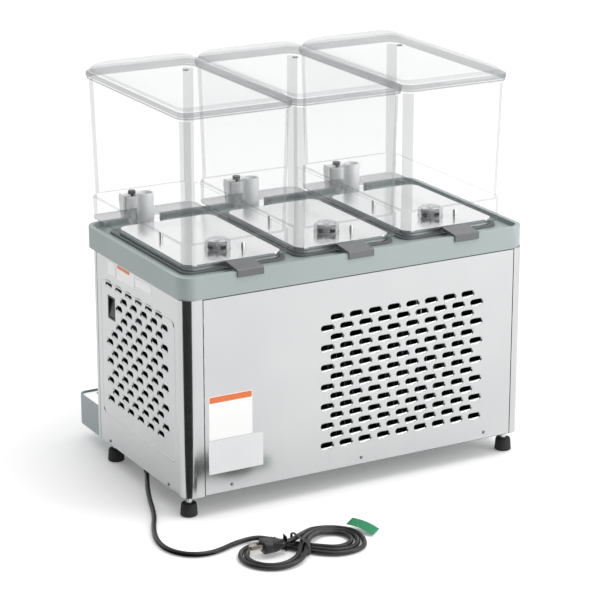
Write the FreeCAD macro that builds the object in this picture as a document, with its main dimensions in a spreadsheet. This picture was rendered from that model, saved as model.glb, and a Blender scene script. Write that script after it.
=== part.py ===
import FreeCAD, Part
import math
import os
import re

import Sketcher

# Chilled drink dispenser with three clear bowls on a refrigerated steel cabinet.
# Millimetres, +Z up. The taps and the drip tray face -Y, the rear vent panel faces +Y and the
# power switch is on the +X side. The origin is under the middle of the machine, on the floor.

os.makedirs("parts", exist_ok=True)
doc = FreeCAD.newDocument("drink_dispenser")

# ---------------------------------------------------------------------------------------------
# Driving dimensions. Distances that end in _back are measured forward from the deck's rear face.
# ---------------------------------------------------------------------------------------------
SIZES = {
    "overall_width": 628, "deck_depth": 364, "deck_height": 36, "deck_corner": 26,
    "deck_rim": 8, "gutter_depth": 8, "deck_skin": 3, "tray_reach": 67, "hook_reach": 3,
    "foot_height": 36, "cabinet_height": 323.5, "panel_inset": 0.7, "rear_inset": 0.4,
    "gauge": 1.2, "panel_back": 315.5, "front_back": 325, "cabinet_corner": 20,
    "return_right": 33.5, "return_left": 21.6, "seam": 1.5, "pan_wall": 18, "fit_gap": 0.3,
    # vent punching
    "vent_length": 26, "vent_height": 12, "side_pitch": 37, "side_row": 16.5,
    "side_vent_back": 86.3, "side_vent_top": 316.7, "rear_pitch": 35, "rear_row": 16.5,
    "rear_vent_x": 41.7, "rear_vent_top": 295,
    # rocker switch
    "switch_back": 262, "switch_z": 278, "switch_width": 28, "switch_tall": 40,
    "switch_depth": 26, "bezel_rim": 2.5, "rocker_gap": 0.5,
    # bowls
    "bowl_pitch": 197.3, "bowl_wall": 3, "bowl_corner": 22,
    "foot_half": 90, "foot_rear": 43.5, "foot_front": 348, "gasket_height": 3,
    "band_height": 40, "band_step": 3, "waist_half": 91.5, "waist_rear": 40,
    "waist_front": 384, "top_half": 95.5, "top_rear": 34, "top_front": 390,
    "bowl_height": 246, "flange_over": 2.5, "flange_height": 3,
    "sump_x": 8, "sump_half": 28, "sump_rear": 329, "sump_drop": 23, "notch_gap": 2,
    "column_back": 354, "column_radius": 14, "column_bore": 11, "column_height": 56,
    # lids
    "lid_half": 98.2, "lid_rear": 31.9, "lid_front": 392.4, "lid_wall": 2.5, "lid_skirt": 9,
    "lid_rise": 16, "crown_rise": 8, "lip_drop": 8, "lip_gap": 0.6, "lid_shoulder": 13,
    "crown_inset": 42, "lid_corner": 14,
    # cold plates and agitators
    "plate_half": 85, "plate_rear": 48.5, "plate_front": 300, "plate_rise": 13,
    "opening_margin": 20, "plate_gap": 1.5, "agitator_back": 110, "impeller_radius": 17,
    "impeller_height": 9, "cap_radius": 21, "cap_height": 17, "cap_wall": 1.6,
    "peg_radius": 3.5, "peg_height": 12, "motor_radius": 27, "motor_height": 58,
    # rear hooks of the bowls
    "hook_half": 23, "hook_thick": 3, "hook_drop": 9,
    # taps
    "tap_back": 407, "tap_radius": 13, "tap_bore": 9, "tap_foot": 351.5, "tap_height": 66,
    "tap_floor": 7, "tap_seat": 5.5, "neck_radius": 8, "neck_bore": 5, "neck_rise": 37,
    "stem_radius": 3, "stem_gap": 0.08, "disc_radius": 8.6, "disc_height": 6,
    "knob_radius": 6.5, "knob_height": 5, "stem_reach": 9.5, "spring_radius": 6.4,
    "spring_wire": 1.2, "lever_side": 15, "lever_plate": 3, "lever_lift": 1,
    "pivot_radius": 2, "pivot_gap": 0.06, "pivot_y": -9, "pivot_drop": 5, "paddle_foot": 311.5,
    # drip tray
    "tray_half": 303, "tray_corner": 14, "tray_foot": 26, "tray_height": 53, "tray_wall": 2.5,
    "grille_seat": 4, "grille_thick": 2, "grille_gap": 0.5, "slot_width": 6, "slot_pitch": 14,
    "slot_count": 40,
    # feet
    "foot_x": 296, "foot_rear_back": 25, "foot_front_back": 296, "rubber_height": 21,
    "rubber_radius": 14, "rubber_top": 12, "stud_radius": 6,
    # cooling unit
    "compressor_x": 165, "compressor_back": 165, "compressor_radius": 66,
    "compressor_height": 165, "condenser_x": -82, "condenser_back": 30, "condenser_width": 250,
    "condenser_depth": 40, "condenser_height": 210, "fin_thick": 1.5, "fin_pitch": 15.5,
    "shroud_gap": 2, "shroud_depth": 22, "fan_radius": 88, "fan_clear": 4, "hub_radius": 22,
    "blade_thick": 2, "fan_motor_radius": 24, "fan_motor_length": 55,
    "box_width": 100, "box_depth": 60, "box_height": 90,
    # power cord
    "cord_diameter": 8, "gland_radius": 9, "gland_x": 283, "gland_back": 194,
    "clamp_length": 26, "clamp_width": 20, "clamp_foot": 21, "hank_height": 24,
    "plug_height": 20, "tag_length": 46, "tag_width": 27, "tag_thick": 0.8,
    # fastenings
    "screw_radius": 3.5, "rear_screw_z": 48, "side_screw_z": 42, "side_screw_rear": 61,
    "side_screw_front": 279,
}

# Places that follow from the driving dimensions.
DERIVED = {
    "rear": "(deck_depth + tray_reach + hook_reach) / 2 - hook_reach",
    "half_width": "overall_width / 2",
    "side_face": "half_width - panel_inset",
    "rear_face": "rear - rear_inset",
    "deck_foot": "foot_height + cabinet_height",
    "deck_top": "deck_foot + deck_height",
    "gutter": "deck_top - gutter_depth",
    "bowl_foot": "gutter + gasket_height",
    "ledge": "deck_top + 2",
    "waist": "ledge + band_height",
    "flange": "bowl_foot + bowl_height - flange_height",
    "lid_foot": "bowl_foot + bowl_height + fit_gap",
    "plate_top": "gutter + plate_rise",
    "sump_foot": "ledge + bowl_wall - sump_drop",
    "tap_top": "tap_foot + tap_height",
    "tray_front": "deck_depth + tray_reach",
    "grille_top": "tray_foot + tray_height",
    "pan_floor": "foot_height + gauge",
    "bowl_rim_half": "top_half + flange_over",
}

sheet = doc.addObject("Spreadsheet::Sheet", "Sizes")
for row, (alias, number) in enumerate(SIZES.items(), start=1):
    sheet.set(f"A{row}", alias)
    sheet.set(f"B{row}", str(number))
    sheet.setAlias(f"B{row}", alias)
doc.recompute()

ALONG_Y = FreeCAD.Rotation(FreeCAD.Vector(1, 0, 0), -90)


def formula(text):
    """Spells a formula out in the sheet's own cells."""
    def spell(match):
        word = match.group(0)
        if word in DERIVED:
            return f"({formula(DERIVED[word])})"
        return f"Sizes.{word}" if word in SIZES else word
    return re.sub(r"[a-z][a-z_0-9]*", spell, str(text))


def size(text):
    """The present value of a formula."""
    return float(sheet.evalExpression(formula(text)))


def bind(item, **cells):
    """Ties properties to formulas; a double underscore stands for a dot."""
    for name, text in cells.items():
        item.setExpression(name.replace("__", "."), formula(text))


def new_body(name, x="0", y="0", z="0"):
    body = doc.addObject("PartDesign::Body", name)
    body.Label = name
    bind(body, Placement__Base__x=x, Placement__Base__y=y, Placement__Base__z=z)
    return body


def new_sketch(body, role, offset="0"):
    """A sketch parallel to an origin plane; XZ sketches are offset towards +Y."""
    plane = next(item for item in body.Origin.OriginFeatures if item.Role == role)
    sketch = body.newObject("Sketcher::SketchObject", f"{body.Name}_sketch")
    sketch.AttachmentSupport = [(plane, "")]
    sketch.MapMode = "FlatFace"
    sign = "-" if role == "XZ_Plane" else ""
    bind(sketch, AttachmentOffset__Base__z=f"{sign}({offset})")
    return sketch


def hold(sketch, kind, vertex, text):
    """Holds one coordinate of a vertex (geometry, end) at a formula's value."""
    word = f"held_{len(sketch.Constraints)}"
    number = sketch.addConstraint(
        Sketcher.Constraint(kind, -1, 1, vertex[0], vertex[1], size(text)))
    sketch.renameConstraint(number, word)
    sketch.setExpression(f"Constraints.{word}", formula(text))


def draw_polygon(sketch, corners):
    """A closed outline of straight edges through corners given as pairs of formulas."""
    first = sketch.GeometryCount
    spots = [FreeCAD.Vector(size(x), size(y), 0) for x, y in corners]
    count = len(spots)
    for i in range(count):
        sketch.addGeometry(Part.LineSegment(spots[i], spots[(i + 1) % count]))
    for i in range(count):
        sketch.addConstraint(
            Sketcher.Constraint("Coincident", first + i, 2, first + (i + 1) % count, 1))
    for i, (x, y) in enumerate(corners):
        hold(sketch, "DistanceX", (first + i, 1), x)
        hold(sketch, "DistanceY", (first + i, 1), y)


def draw_rectangle(sketch, left, right, low, high):
    draw_polygon(sketch, [(left, low), (right, low), (right, high), (left, high)])


def draw_rounded(sketch, left, right, low, high, radius):
    """A rectangle with rounded corners, held by its four sides and one radius."""
    first = sketch.GeometryCount
    x0, x1, y0, y1, r = (size(text) for text in (left, right, low, high, radius))
    centres = [(x1 - r, y0 + r, 270), (x1 - r, y1 - r, 0), (x0 + r, y1 - r, 90), (x0 + r, y0 + r, 180)]
    sides = [((x0 + r, y0), (x1 - r, y0)), ((x1, y0 + r), (x1, y1 - r)),
             ((x1 - r, y1), (x0 + r, y1)), ((x0, y1 - r), (x0, y0 + r))]
    for (start, end), (cx, cy, angle) in zip(sides, centres):
        sketch.addGeometry(Part.LineSegment(FreeCAD.Vector(*start, 0), FreeCAD.Vector(*end, 0)))
        circle = Part.Circle(FreeCAD.Vector(cx, cy, 0), FreeCAD.Vector(0, 0, 1), r)
        turn = math.radians(angle)
        sketch.addGeometry(Part.ArcOfCircle(circle, turn, turn + math.pi / 2))
    for i in range(4):
        line = first + 2 * i
        following = first + (2 * i + 2) % 8
        sketch.addConstraint(Sketcher.Constraint("Tangent", line, 2, line + 1, 1))
        sketch.addConstraint(Sketcher.Constraint("Tangent", line + 1, 2, following, 1))
        sketch.addConstraint(Sketcher.Constraint("Vertical" if i % 2 else "Horizontal", line))
    for i in range(1, 4):
        sketch.addConstraint(Sketcher.Constraint("Equal", first + 1, first + 2 * i + 1))
    word = f"corner_{first}"
    number = sketch.addConstraint(Sketcher.Constraint("Radius", first + 1, r))
    sketch.renameConstraint(number, word)
    sketch.setExpression(f"Constraints.{word}", formula(radius))
    hold(sketch, "DistanceY", (first, 1), low)
    hold(sketch, "DistanceX", (first + 2, 1), right)
    hold(sketch, "DistanceY", (first + 4, 1), high)
    hold(sketch, "DistanceX", (first + 6, 1), left)


def draw_circle(sketch, x, y, radius):
    centre = FreeCAD.Vector(size(x), size(y), 0)
    index = sketch.addGeometry(Part.Circle(centre, FreeCAD.Vector(0, 0, 1), size(radius)))
    word = f"radius_{index}"
    number = sketch.addConstraint(Sketcher.Constraint("Radius", index, size(radius)))
    sketch.renameConstraint(number, word)
    sketch.setExpression(f"Constraints.{word}", formula(radius))
    hold(sketch, "DistanceX", (index, 3), x)
    hold(sketch, "DistanceY", (index, 3), y)


def pad(body, sketch, length, reverse=False, symmetric=False):
    feature = body.newObject("PartDesign::Pad", f"{body.Name}_pad")
    feature.Profile = sketch
    feature.Reversed = reverse
    feature.SideType = "Symmetric" if symmetric else "One side"
    bind(feature, Length=length)
    doc.recompute()
    return feature


def pocket(body, sketch, length, reverse=False, symmetric=False):
    before = body.Shape.Volume
    feature = body.newObject("PartDesign::Pocket", f"{body.Name}_pocket")
    feature.Profile = sketch
    feature.Reversed = reverse
    feature.SideType = "Symmetric" if symmetric else "One side"
    bind(feature, Length=length)
    doc.recompute()
    if body.Shape.Volume > before - 0.01:
        raise ValueError(f"{body.Label}: a pocket cuts nothing")
    return feature


def loft(body, kind, low_sketch, high_sketch):
    feature = body.newObject(f"PartDesign::{kind}", f"{body.Name}_loft")
    feature.Profile = low_sketch
    feature.Sections = [high_sketch]
    feature.Ruled = True
    doc.recompute()
    return feature


def revolve(body, sketch, kind="Revolution"):
    """A full turn about the sketch's own vertical axis."""
    feature = body.newObject(f"PartDesign::{kind}", f"{body.Name}_turn")
    feature.Profile = sketch
    feature.ReferenceAxis = (sketch, ["V_Axis"])
    feature.Angle = 360
    doc.recompute()
    return feature


def rounded_pad(body, base, height, left, right, low, high, radius):
    sketch = new_sketch(body, "XY_Plane", base)
    draw_rounded(sketch, left, right, low, high, radius)
    return pad(body, sketch, height)


def rounded_pocket(body, base, height, left, right, low, high, radius):
    sketch = new_sketch(body, "XY_Plane", base)
    draw_rounded(sketch, left, right, low, high, radius)
    return pocket(body, sketch, height, reverse=True)


def round_edges(body, radius, chosen):
    """Rounds the edges for which chosen(edge) is true."""
    base = body.Tip
    names = [f"Edge{i}" for i, edge in enumerate(base.Shape.Edges, start=1) if chosen(edge)]
    feature = body.newObject("PartDesign::Fillet", f"{body.Name}_fillet")
    feature.Base = (base, names)
    bind(feature, Radius=radius)
    doc.recompute()
    return feature


def upright_at(x, y):
    """Picks the upright edges that stand at one place in plan."""
    def chosen(edge):
        box = edge.BoundBox
        near = abs(box.Center.x - size(x)) < 0.05 and abs(box.Center.y - size(y)) < 0.05
        return near and box.ZLength > box.XLength + box.YLength + 1
    return chosen


def new_box(name, x, y, z, width, depth, height):
    """A block from its low corner."""
    item = doc.addObject("Part::Box", name)
    item.Label = name
    bind(item, Length=width, Width=depth, Height=height, Placement__Base__x=x,
         Placement__Base__y=y, Placement__Base__z=z)
    return item


def new_cylinder(name, x, y, z, radius, height, rotation=None):
    item = doc.addObject("Part::Cylinder", name)
    item.Label = name
    if rotation:
        item.Placement.Rotation = rotation
    bind(item, Radius=radius, Height=height, Placement__Base__x=x, Placement__Base__y=y,
         Placement__Base__z=z)
    return item


def joined(name, items):
    item = doc.addObject("Part::MultiFuse", name)
    item.Label = name
    item.Shapes = items
    return item


def cut(name, base, tool):
    item = doc.addObject("Part::Cut", name)
    item.Label = name
    item.Base = base
    item.Tool = tool
    return item


def grouped(name, items):
    """Separate solids kept in one node."""
    item = doc.addObject("Part::Compound", name)
    item.Label = name
    item.Links = items
    return item


NODES = []


def keep(item):
    """Marks an object as a sub-part that is written out."""
    NODES.append(item)
    return item


# ---------------------------------------------------------------------------------------------
# Cabinet
# ---------------------------------------------------------------------------------------------
def base_pan():
    """Folded tray that closes the cabinet from below and carries everything inside it."""
    body = new_body("base_pan")
    edge = "side_face - gauge - fit_gap"
    front = "rear - front_back + gauge + fit_gap"
    back = "rear_face - gauge - fit_gap"
    corner = "cabinet_corner - gauge - fit_gap"
    outer = new_sketch(body, "XY_Plane", "foot_height")
    draw_rounded(outer, f"-({edge})", edge, front, back, corner)
    pad(body, outer, "pan_wall")
    inner = new_sketch(body, "XY_Plane", "pan_floor")
    draw_rounded(inner, f"-({edge}) + gauge", f"{edge} - gauge", f"{front} + gauge",
                 f"{back} - gauge", f"{corner} - gauge")
    pocket(body, inner, "pan_wall", reverse=True)
    hole = new_sketch(body, "XY_Plane", "foot_height")
    draw_circle(hole, "gland_x", "rear - gland_back", "gland_radius - 2")
    pocket(body, hole, "gauge * 2", reverse=True)
    return keep(body)


def side_panel(name, side, return_width):
    """Sheet that covers one side and turns the rear corner; side is 1 or -1."""
    body = new_body(name)
    near = f"{side} * (side_face - {return_width})"
    far = f"{side} * side_face"
    inner = f"{side} * (side_face - gauge)"
    front = "rear - panel_back"
    profile = new_sketch(body, "XY_Plane", "foot_height")
    draw_polygon(profile, [(far, front), (far, "rear_face"), (near, "rear_face"),
                           (near, "rear_face - gauge"), (inner, "rear_face - gauge"),
                           (inner, front)])
    pad(body, profile, "cabinet_height")
    round_edges(body, "cabinet_corner", upright_at(far, "rear_face"))
    round_edges(body, "cabinet_corner - gauge", upright_at(inner, "rear_face - gauge"))
    return body


def vent_grid(body, role, face, x, z, columns, rows, pitch, row_pitch):
    """A grid of round-ended holes punched through a sheet; x and z place its top left hole."""
    sketch = new_sketch(body, role, face)
    draw_rounded(sketch, f"{x} - vent_length / 2", f"{x} + vent_length / 2",
                 f"{z} - vent_height / 2", f"{z} + vent_height / 2", "vent_height / 2 - 0.01")
    first = pocket(body, sketch, "gauge * 4", symmetric=True)
    pattern = body.newObject("PartDesign::LinearPattern", f"{body.Name}_pattern")
    pattern.Originals = [first]
    pattern.Direction = (sketch, ["H_Axis"])
    pattern.Mode = "Spacing"
    pattern.Occurrences = columns
    pattern.Direction2 = (sketch, ["V_Axis"])
    pattern.Reversed2 = True
    pattern.Mode2 = "Spacing"
    # The second direction makes one row fewer than its count, except for a single row.
    pattern.Occurrences2 = rows + 1 if rows > 1 else 1
    bind(pattern, Offset=pitch, Offset2=row_pitch)
    body.Tip = pattern
    doc.recompute()
    return pattern


def side_vents(body, side, with_switch):
    """Thirteen staggered rows of vents; the switch side leaves out the hole next to the switch."""
    face = f"{side} * (side_face - gauge / 2)"
    first = "rear - side_vent_back - 5 * side_pitch"
    shifted = f"{first} + side_pitch / 2"
    top = "side_vent_top"
    if not with_switch:
        vent_grid(body, "YZ_Plane", face, first, top, 6, 7, "side_pitch", "2 * side_row")
        vent_grid(body, "YZ_Plane", face, shifted, f"{top} - side_row", 6, 6, "side_pitch",
                  "2 * side_row")
        return
    plain_rows = f"{top} - 6 * side_row"
    vent_grid(body, "YZ_Plane", face, first, top, 6, 1, "side_pitch", "2 * side_row")
    vent_grid(body, "YZ_Plane", face, f"{first} + side_pitch", f"{top} - 2 * side_row", 5, 2,
              "side_pitch", "2 * side_row")
    vent_grid(body, "YZ_Plane", face, first, plain_rows, 6, 4, "side_pitch", "2 * side_row")
    vent_grid(body, "YZ_Plane", face, f"{shifted} + side_pitch", f"{top} - side_row", 5, 2,
              "side_pitch", "2 * side_row")
    vent_grid(body, "YZ_Plane", face, shifted, f"{top} - 5 * side_row", 6, 4, "side_pitch",
              "2 * side_row")


def side_panels():
    right = side_panel("right_side_panel", 1, "return_right")
    side_vents(right, 1, True)
    opening = new_sketch(right, "YZ_Plane", "side_face")
    draw_rectangle(opening, "rear - switch_back - switch_width / 2",
                   "rear - switch_back + switch_width / 2",
                   "switch_z - switch_tall / 2", "switch_z + switch_tall / 2")
    pocket(right, opening, "gauge * 4", symmetric=True)
    keep(right)
    left = side_panel("left_side_panel", -1, "return_left")
    side_vents(left, -1, False)
    keep(left)


def rear_panel():
    """Flat rear sheet with fourteen staggered rows of eight and nine vents."""
    body = new_body("rear_panel")
    sketch = new_sketch(body, "XZ_Plane", "rear_face")
    draw_rectangle(sketch, "-(side_face - return_left - seam)", "side_face - return_right - seam",
                   "foot_height + seam", "deck_foot - seam")
    pad(body, sketch, "gauge")
    face = "rear_face - gauge / 2"
    first = "rear_vent_x - 7 * rear_pitch"
    vent_grid(body, "XZ_Plane", face, first, "rear_vent_top", 8, 7, "rear_pitch", "2 * rear_row")
    vent_grid(body, "XZ_Plane", face, f"{first} - rear_pitch / 2", "rear_vent_top - rear_row",
              9, 7, "rear_pitch", "2 * rear_row")
    return keep(body)


def front_panel():
    """Flat front sheet with short returns that meet the side panels."""
    body = new_body("front_panel")
    far = "side_face"
    inner = "side_face - gauge"
    front = "rear - front_back"
    back = "rear - panel_back - seam"
    sketch = new_sketch(body, "XY_Plane", "foot_height")
    draw_polygon(sketch, [(f"-({far})", front), (far, front), (far, back), (inner, back),
                          (inner, f"{front} + gauge"), (f"-({inner})", f"{front} + gauge"),
                          (f"-({inner})", back), (f"-({far})", back)])
    pad(body, sketch, "cabinet_height")
    return keep(body)


def top_deck():
    """Moulded deck: a rim round a gutter, an opening under each cold plate, and a notch in the
    front rim for each bowl's sump."""
    body = new_body("top_deck")
    back = "rear"
    front = "rear - deck_depth"
    rounded_pad(body, "deck_foot", "deck_height", "-half_width", "half_width", front, back,
                "deck_corner")
    rounded_pocket(body, "gutter", "gutter_depth + 1", "-half_width + deck_rim",
                   "half_width - deck_rim", f"{front} + deck_rim", f"{back} - deck_rim",
                   "deck_corner - deck_rim")
    rounded_pocket(body, "deck_foot - 1", "deck_height - gutter_depth - deck_skin + 1",
                   "-half_width + deck_skin", "half_width - deck_skin", f"{front} + deck_skin",
                   f"{back} - deck_skin", "deck_corner - deck_skin")
    openings = new_sketch(body, "XY_Plane", "gutter + 1")
    notches = new_sketch(body, "XY_Plane", "deck_top + 1")
    for index in (-1, 0, 1):
        x = f"{index} * bowl_pitch"
        draw_rectangle(openings, f"{x} - plate_half + opening_margin",
                       f"{x} + plate_half - opening_margin",
                       "rear - plate_front + opening_margin", "rear - plate_rear - opening_margin")
        draw_rectangle(notches, f"{x} + sump_x - sump_half - notch_gap",
                       f"{x} + sump_x + sump_half + notch_gap", f"{front} - 1",
                       "rear - sump_rear + notch_gap")
    pocket(body, openings, "deck_skin + 2")
    pocket(body, notches, "deck_height + 2")
    return keep(body)


def feet():
    """Four rubber feet on plated studs."""
    rubbers = []
    studs = []
    for side in (1, -1):
        for back in ("foot_rear_back", "foot_front_back"):
            word = f"{'right' if side > 0 else 'left'}_{back}"
            cone = doc.addObject("Part::Cone", f"rubber_{word}")
            bind(cone, Radius1="rubber_radius", Radius2="rubber_top", Height="rubber_height",
                 Placement__Base__x=f"{side} * foot_x", Placement__Base__y=f"rear - {back}")
            rubbers.append(cone)
            studs.append(new_cylinder(f"stud_{word}", f"{side} * foot_x", f"rear - {back}",
                                      "rubber_height", "stud_radius",
                                      "foot_height - rubber_height"))
    keep(grouped("rubber_feet", rubbers))
    keep(grouped("foot_studs", studs))


def panel_screws():
    """Dome-headed screws along the foot of the rear panel and of the right side panel."""
    heads = []
    for number, x in enumerate((232, -4, -240)):
        head = doc.addObject("Part::Sphere", f"rear_screw_{number}")
        head.Placement.Rotation = ALONG_Y
        bind(head, Radius="screw_radius", Angle1="30", Placement__Base__x=f"{x}",
             Placement__Base__y="rear_face - screw_radius / 2", Placement__Base__z="rear_screw_z")
        heads.append(head)
    for back in ("side_screw_rear", "side_screw_front"):
        head = doc.addObject("Part::Sphere", f"right_{back}")
        head.Placement.Rotation = FreeCAD.Rotation(FreeCAD.Vector(0, 1, 0), 90)
        bind(head, Radius="screw_radius", Angle1="30", Placement__Base__z="side_screw_z",
             Placement__Base__x="side_face - screw_radius / 2", Placement__Base__y=f"rear - {back}")
        heads.append(head)
    return keep(grouped("panel_screws", heads))


def power_switch():
    """Rocker switch set into the right side panel."""
    body = new_body("switch_bezel")
    low = "rear - switch_back - switch_width / 2"
    high = "rear - switch_back + switch_width / 2"
    foot = "switch_z - switch_tall / 2"
    head = "switch_z + switch_tall / 2"
    shell = new_sketch(body, "YZ_Plane", "side_face")
    draw_rectangle(shell, f"{low} + fit_gap", f"{high} - fit_gap", f"{foot} + fit_gap",
                   f"{head} - fit_gap")
    pad(body, shell, "switch_depth", reverse=True)
    well = new_sketch(body, "YZ_Plane", "side_face")
    draw_rectangle(well, f"{low} + fit_gap + bezel_rim", f"{high} - fit_gap - bezel_rim",
                   f"{foot} + fit_gap + bezel_rim", f"{head} - fit_gap - bezel_rim")
    pocket(body, well, "switch_depth - bezel_rim")
    keep(body)
    rocker = new_body("switch_rocker")
    outline = new_sketch(rocker, "XZ_Plane", "rear - switch_back")
    inset = "(fit_gap + bezel_rim + rocker_gap)"
    draw_polygon(outline, [("side_face - 13", "switch_z"), ("side_face - 7", f"{foot} + {inset} + 3"),
                           ("side_face - 0.4", f"{foot} + {inset} + 1.2"), ("side_face - 3", "switch_z"),
                           ("side_face - 6", f"{head} - {inset} - 1.2"),
                           ("side_face - 11", f"{head} - {inset} - 3")])
    pad(rocker, outline, f"switch_width - 2 * {inset}", symmetric=True)
    keep(rocker)


# ---------------------------------------------------------------------------------------------
# Cooling unit inside the cabinet
# ---------------------------------------------------------------------------------------------
def compressor():
    """Hermetic compressor: a domed can on a foot plate."""
    body = new_body("compressor", "compressor_x", "rear - compressor_back", "pan_floor")
    profile = new_sketch(body, "XZ_Plane")
    draw_polygon(profile, [("0", "6"), ("compressor_radius * 0.8", "6"),
                           ("compressor_radius", "26"),
                           ("compressor_radius", "compressor_height - 45"),
                           ("compressor_radius * 0.85", "compressor_height - 15"),
                           ("compressor_radius * 0.45", "compressor_height"),
                           ("0", "compressor_height")])
    revolve(body, profile)
    plate = new_sketch(body, "XY_Plane")
    draw_rounded(plate, "-compressor_radius - 12", "compressor_radius + 12",
                 "-compressor_radius - 4", "compressor_radius + 4", "12")
    pad(body, plate, "6.5")
    return keep(body)


def condenser():
    """Fins on serpentine tubes, between two end plates."""
    left = "condenser_x - condenser_width / 2"
    front = "rear - condenser_back - condenser_depth"
    pieces = []
    count = int((SIZES["condenser_width"] - SIZES["fin_thick"]) / SIZES["fin_pitch"]) + 1
    for number in range(count):
        pieces.append(new_box(f"fin_{number}", f"{left} + {number} * fin_pitch", front,
                              "pan_floor", "fin_thick", "condenser_depth", "condenser_height"))
    for level in range(6):
        pieces.append(new_cylinder(
            f"coil_{level}", left, f"{front} + condenser_depth / 2",
            f"pan_floor + (condenser_height / 6) * {level + 0.5}", "4",
            f"{count - 1} * fin_pitch + fin_thick", FreeCAD.Rotation(FreeCAD.Vector(0, 1, 0), 90)))
    return keep(joined("condenser", pieces))


def cooling_fan():
    """Axial fan in front of the condenser: shroud, motor on three arms, and blades."""
    back = "rear - condenser_back - condenser_depth - shroud_gap"
    centre_z = "pan_floor + condenser_height / 2"
    shroud = new_body("fan_shroud")
    outline = new_sketch(shroud, "XZ_Plane", back)
    draw_rectangle(outline, "condenser_x - condenser_width / 2",
                   "condenser_x + condenser_width / 2", "pan_floor",
                   "pan_floor + condenser_height")
    draw_circle(outline, "condenser_x", centre_z, "fan_radius + fan_clear")
    pad(shroud, outline, "2")
    ring = new_sketch(shroud, "XZ_Plane", back)
    draw_circle(ring, "condenser_x", centre_z, "fan_radius + fan_clear + 2")
    draw_circle(ring, "condenser_x", centre_z, "fan_radius + fan_clear")
    pad(shroud, ring, "shroud_depth")
    arm = new_sketch(shroud, "XZ_Plane", f"{back} - shroud_depth + 3")
    draw_rectangle(arm, "condenser_x - fan_radius - fan_clear - 1",
                   "condenser_x + fan_radius + fan_clear + 1", f"{centre_z} - 5",
                   f"{centre_z} + 5")
    pad(shroud, arm, "3")
    keep(shroud)
    keep(new_cylinder("fan_motor", "condenser_x", f"{back} - shroud_depth - fan_motor_length",
                      centre_z, "fan_motor_radius", "fan_motor_length", ALONG_Y))
    fan = new_body("fan_blades", "condenser_x", f"{back} - 3", centre_z)
    hub = new_sketch(fan, "XZ_Plane")
    draw_circle(hub, "0", "0", "hub_radius")
    pad(fan, hub, "shroud_depth - 8")
    blade = new_sketch(fan, "XZ_Plane", "-5")
    draw_polygon(blade, [("hub_radius - 3", "-6"), ("fan_radius * 0.97", "-24"),
                         ("fan_radius * 0.93", "26"), ("hub_radius - 3", "12")])
    first = pad(fan, blade, "blade_thick")
    pattern = fan.newObject("PartDesign::PolarPattern", "fan_pattern")
    pattern.Originals = [first]
    pattern.Axis = (hub, ["N_Axis"])
    pattern.Angle = 360
    pattern.Occurrences = 5
    fan.Tip = pattern
    doc.recompute()
    keep(fan)


def control_box():
    """Terminal box behind the switch, with the thermostat."""
    return keep(new_box("control_box", "side_face - gauge - switch_depth - box_depth",
                        "rear - switch_back - box_width / 2 + 8", "switch_z - box_height / 2",
                        "box_depth", "box_width", "box_height"))


# ---------------------------------------------------------------------------------------------
# One bowl station; number is 1 to 3 from +X to -X
# ---------------------------------------------------------------------------------------------
def station_x(number):
    return f"{2 - number} * bowl_pitch"


def cold_plate(number):
    """Stainless plate that chills the bowl's floor, with two locating pegs."""
    body = new_body(f"cold_plate_{number}", station_x(number))
    rounded_pad(body, "gutter", "plate_rise", "-plate_half", "plate_half", "rear - plate_front",
                "rear - plate_rear", "bowl_corner - bowl_wall - plate_gap")
    rounded_pad(body, "gutter - deck_skin", "deck_skin + 1",
                "-plate_half + opening_margin + 1", "plate_half - opening_margin - 1",
                "rear - plate_front + opening_margin + 1",
                "rear - plate_rear - opening_margin - 1", "3")
    pegs = new_sketch(body, "XY_Plane", "plate_top")
    draw_circle(pegs, "53", "rear - 204", "peg_radius")
    draw_circle(pegs, "-35", "rear - 90", "peg_radius")
    pad(body, pegs, "peg_height")
    return keep(body)


def bowl_gaskets():
    """Flat rubber rings between the deck and the foot of each bowl."""
    rings = []
    for number in (1, 2, 3):
        body = new_body(f"gasket_{number}", station_x(number))
        sketch = new_sketch(body, "XY_Plane", "gutter")
        draw_rounded(sketch, "-foot_half - 1.5", "foot_half + 1.5", "rear - sump_rear + notch_gap",
                     "rear - foot_rear + 1.5", "bowl_corner - 4")
        draw_rounded(sketch, "-plate_half - plate_gap", "plate_half + plate_gap",
                     "rear - plate_front - plate_gap", "rear - plate_rear + plate_gap",
                     "bowl_corner - bowl_wall")
        pad(body, sketch, "gasket_height")
        rings.append(body)
    return keep(grouped("bowl_gaskets", rings))


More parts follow.
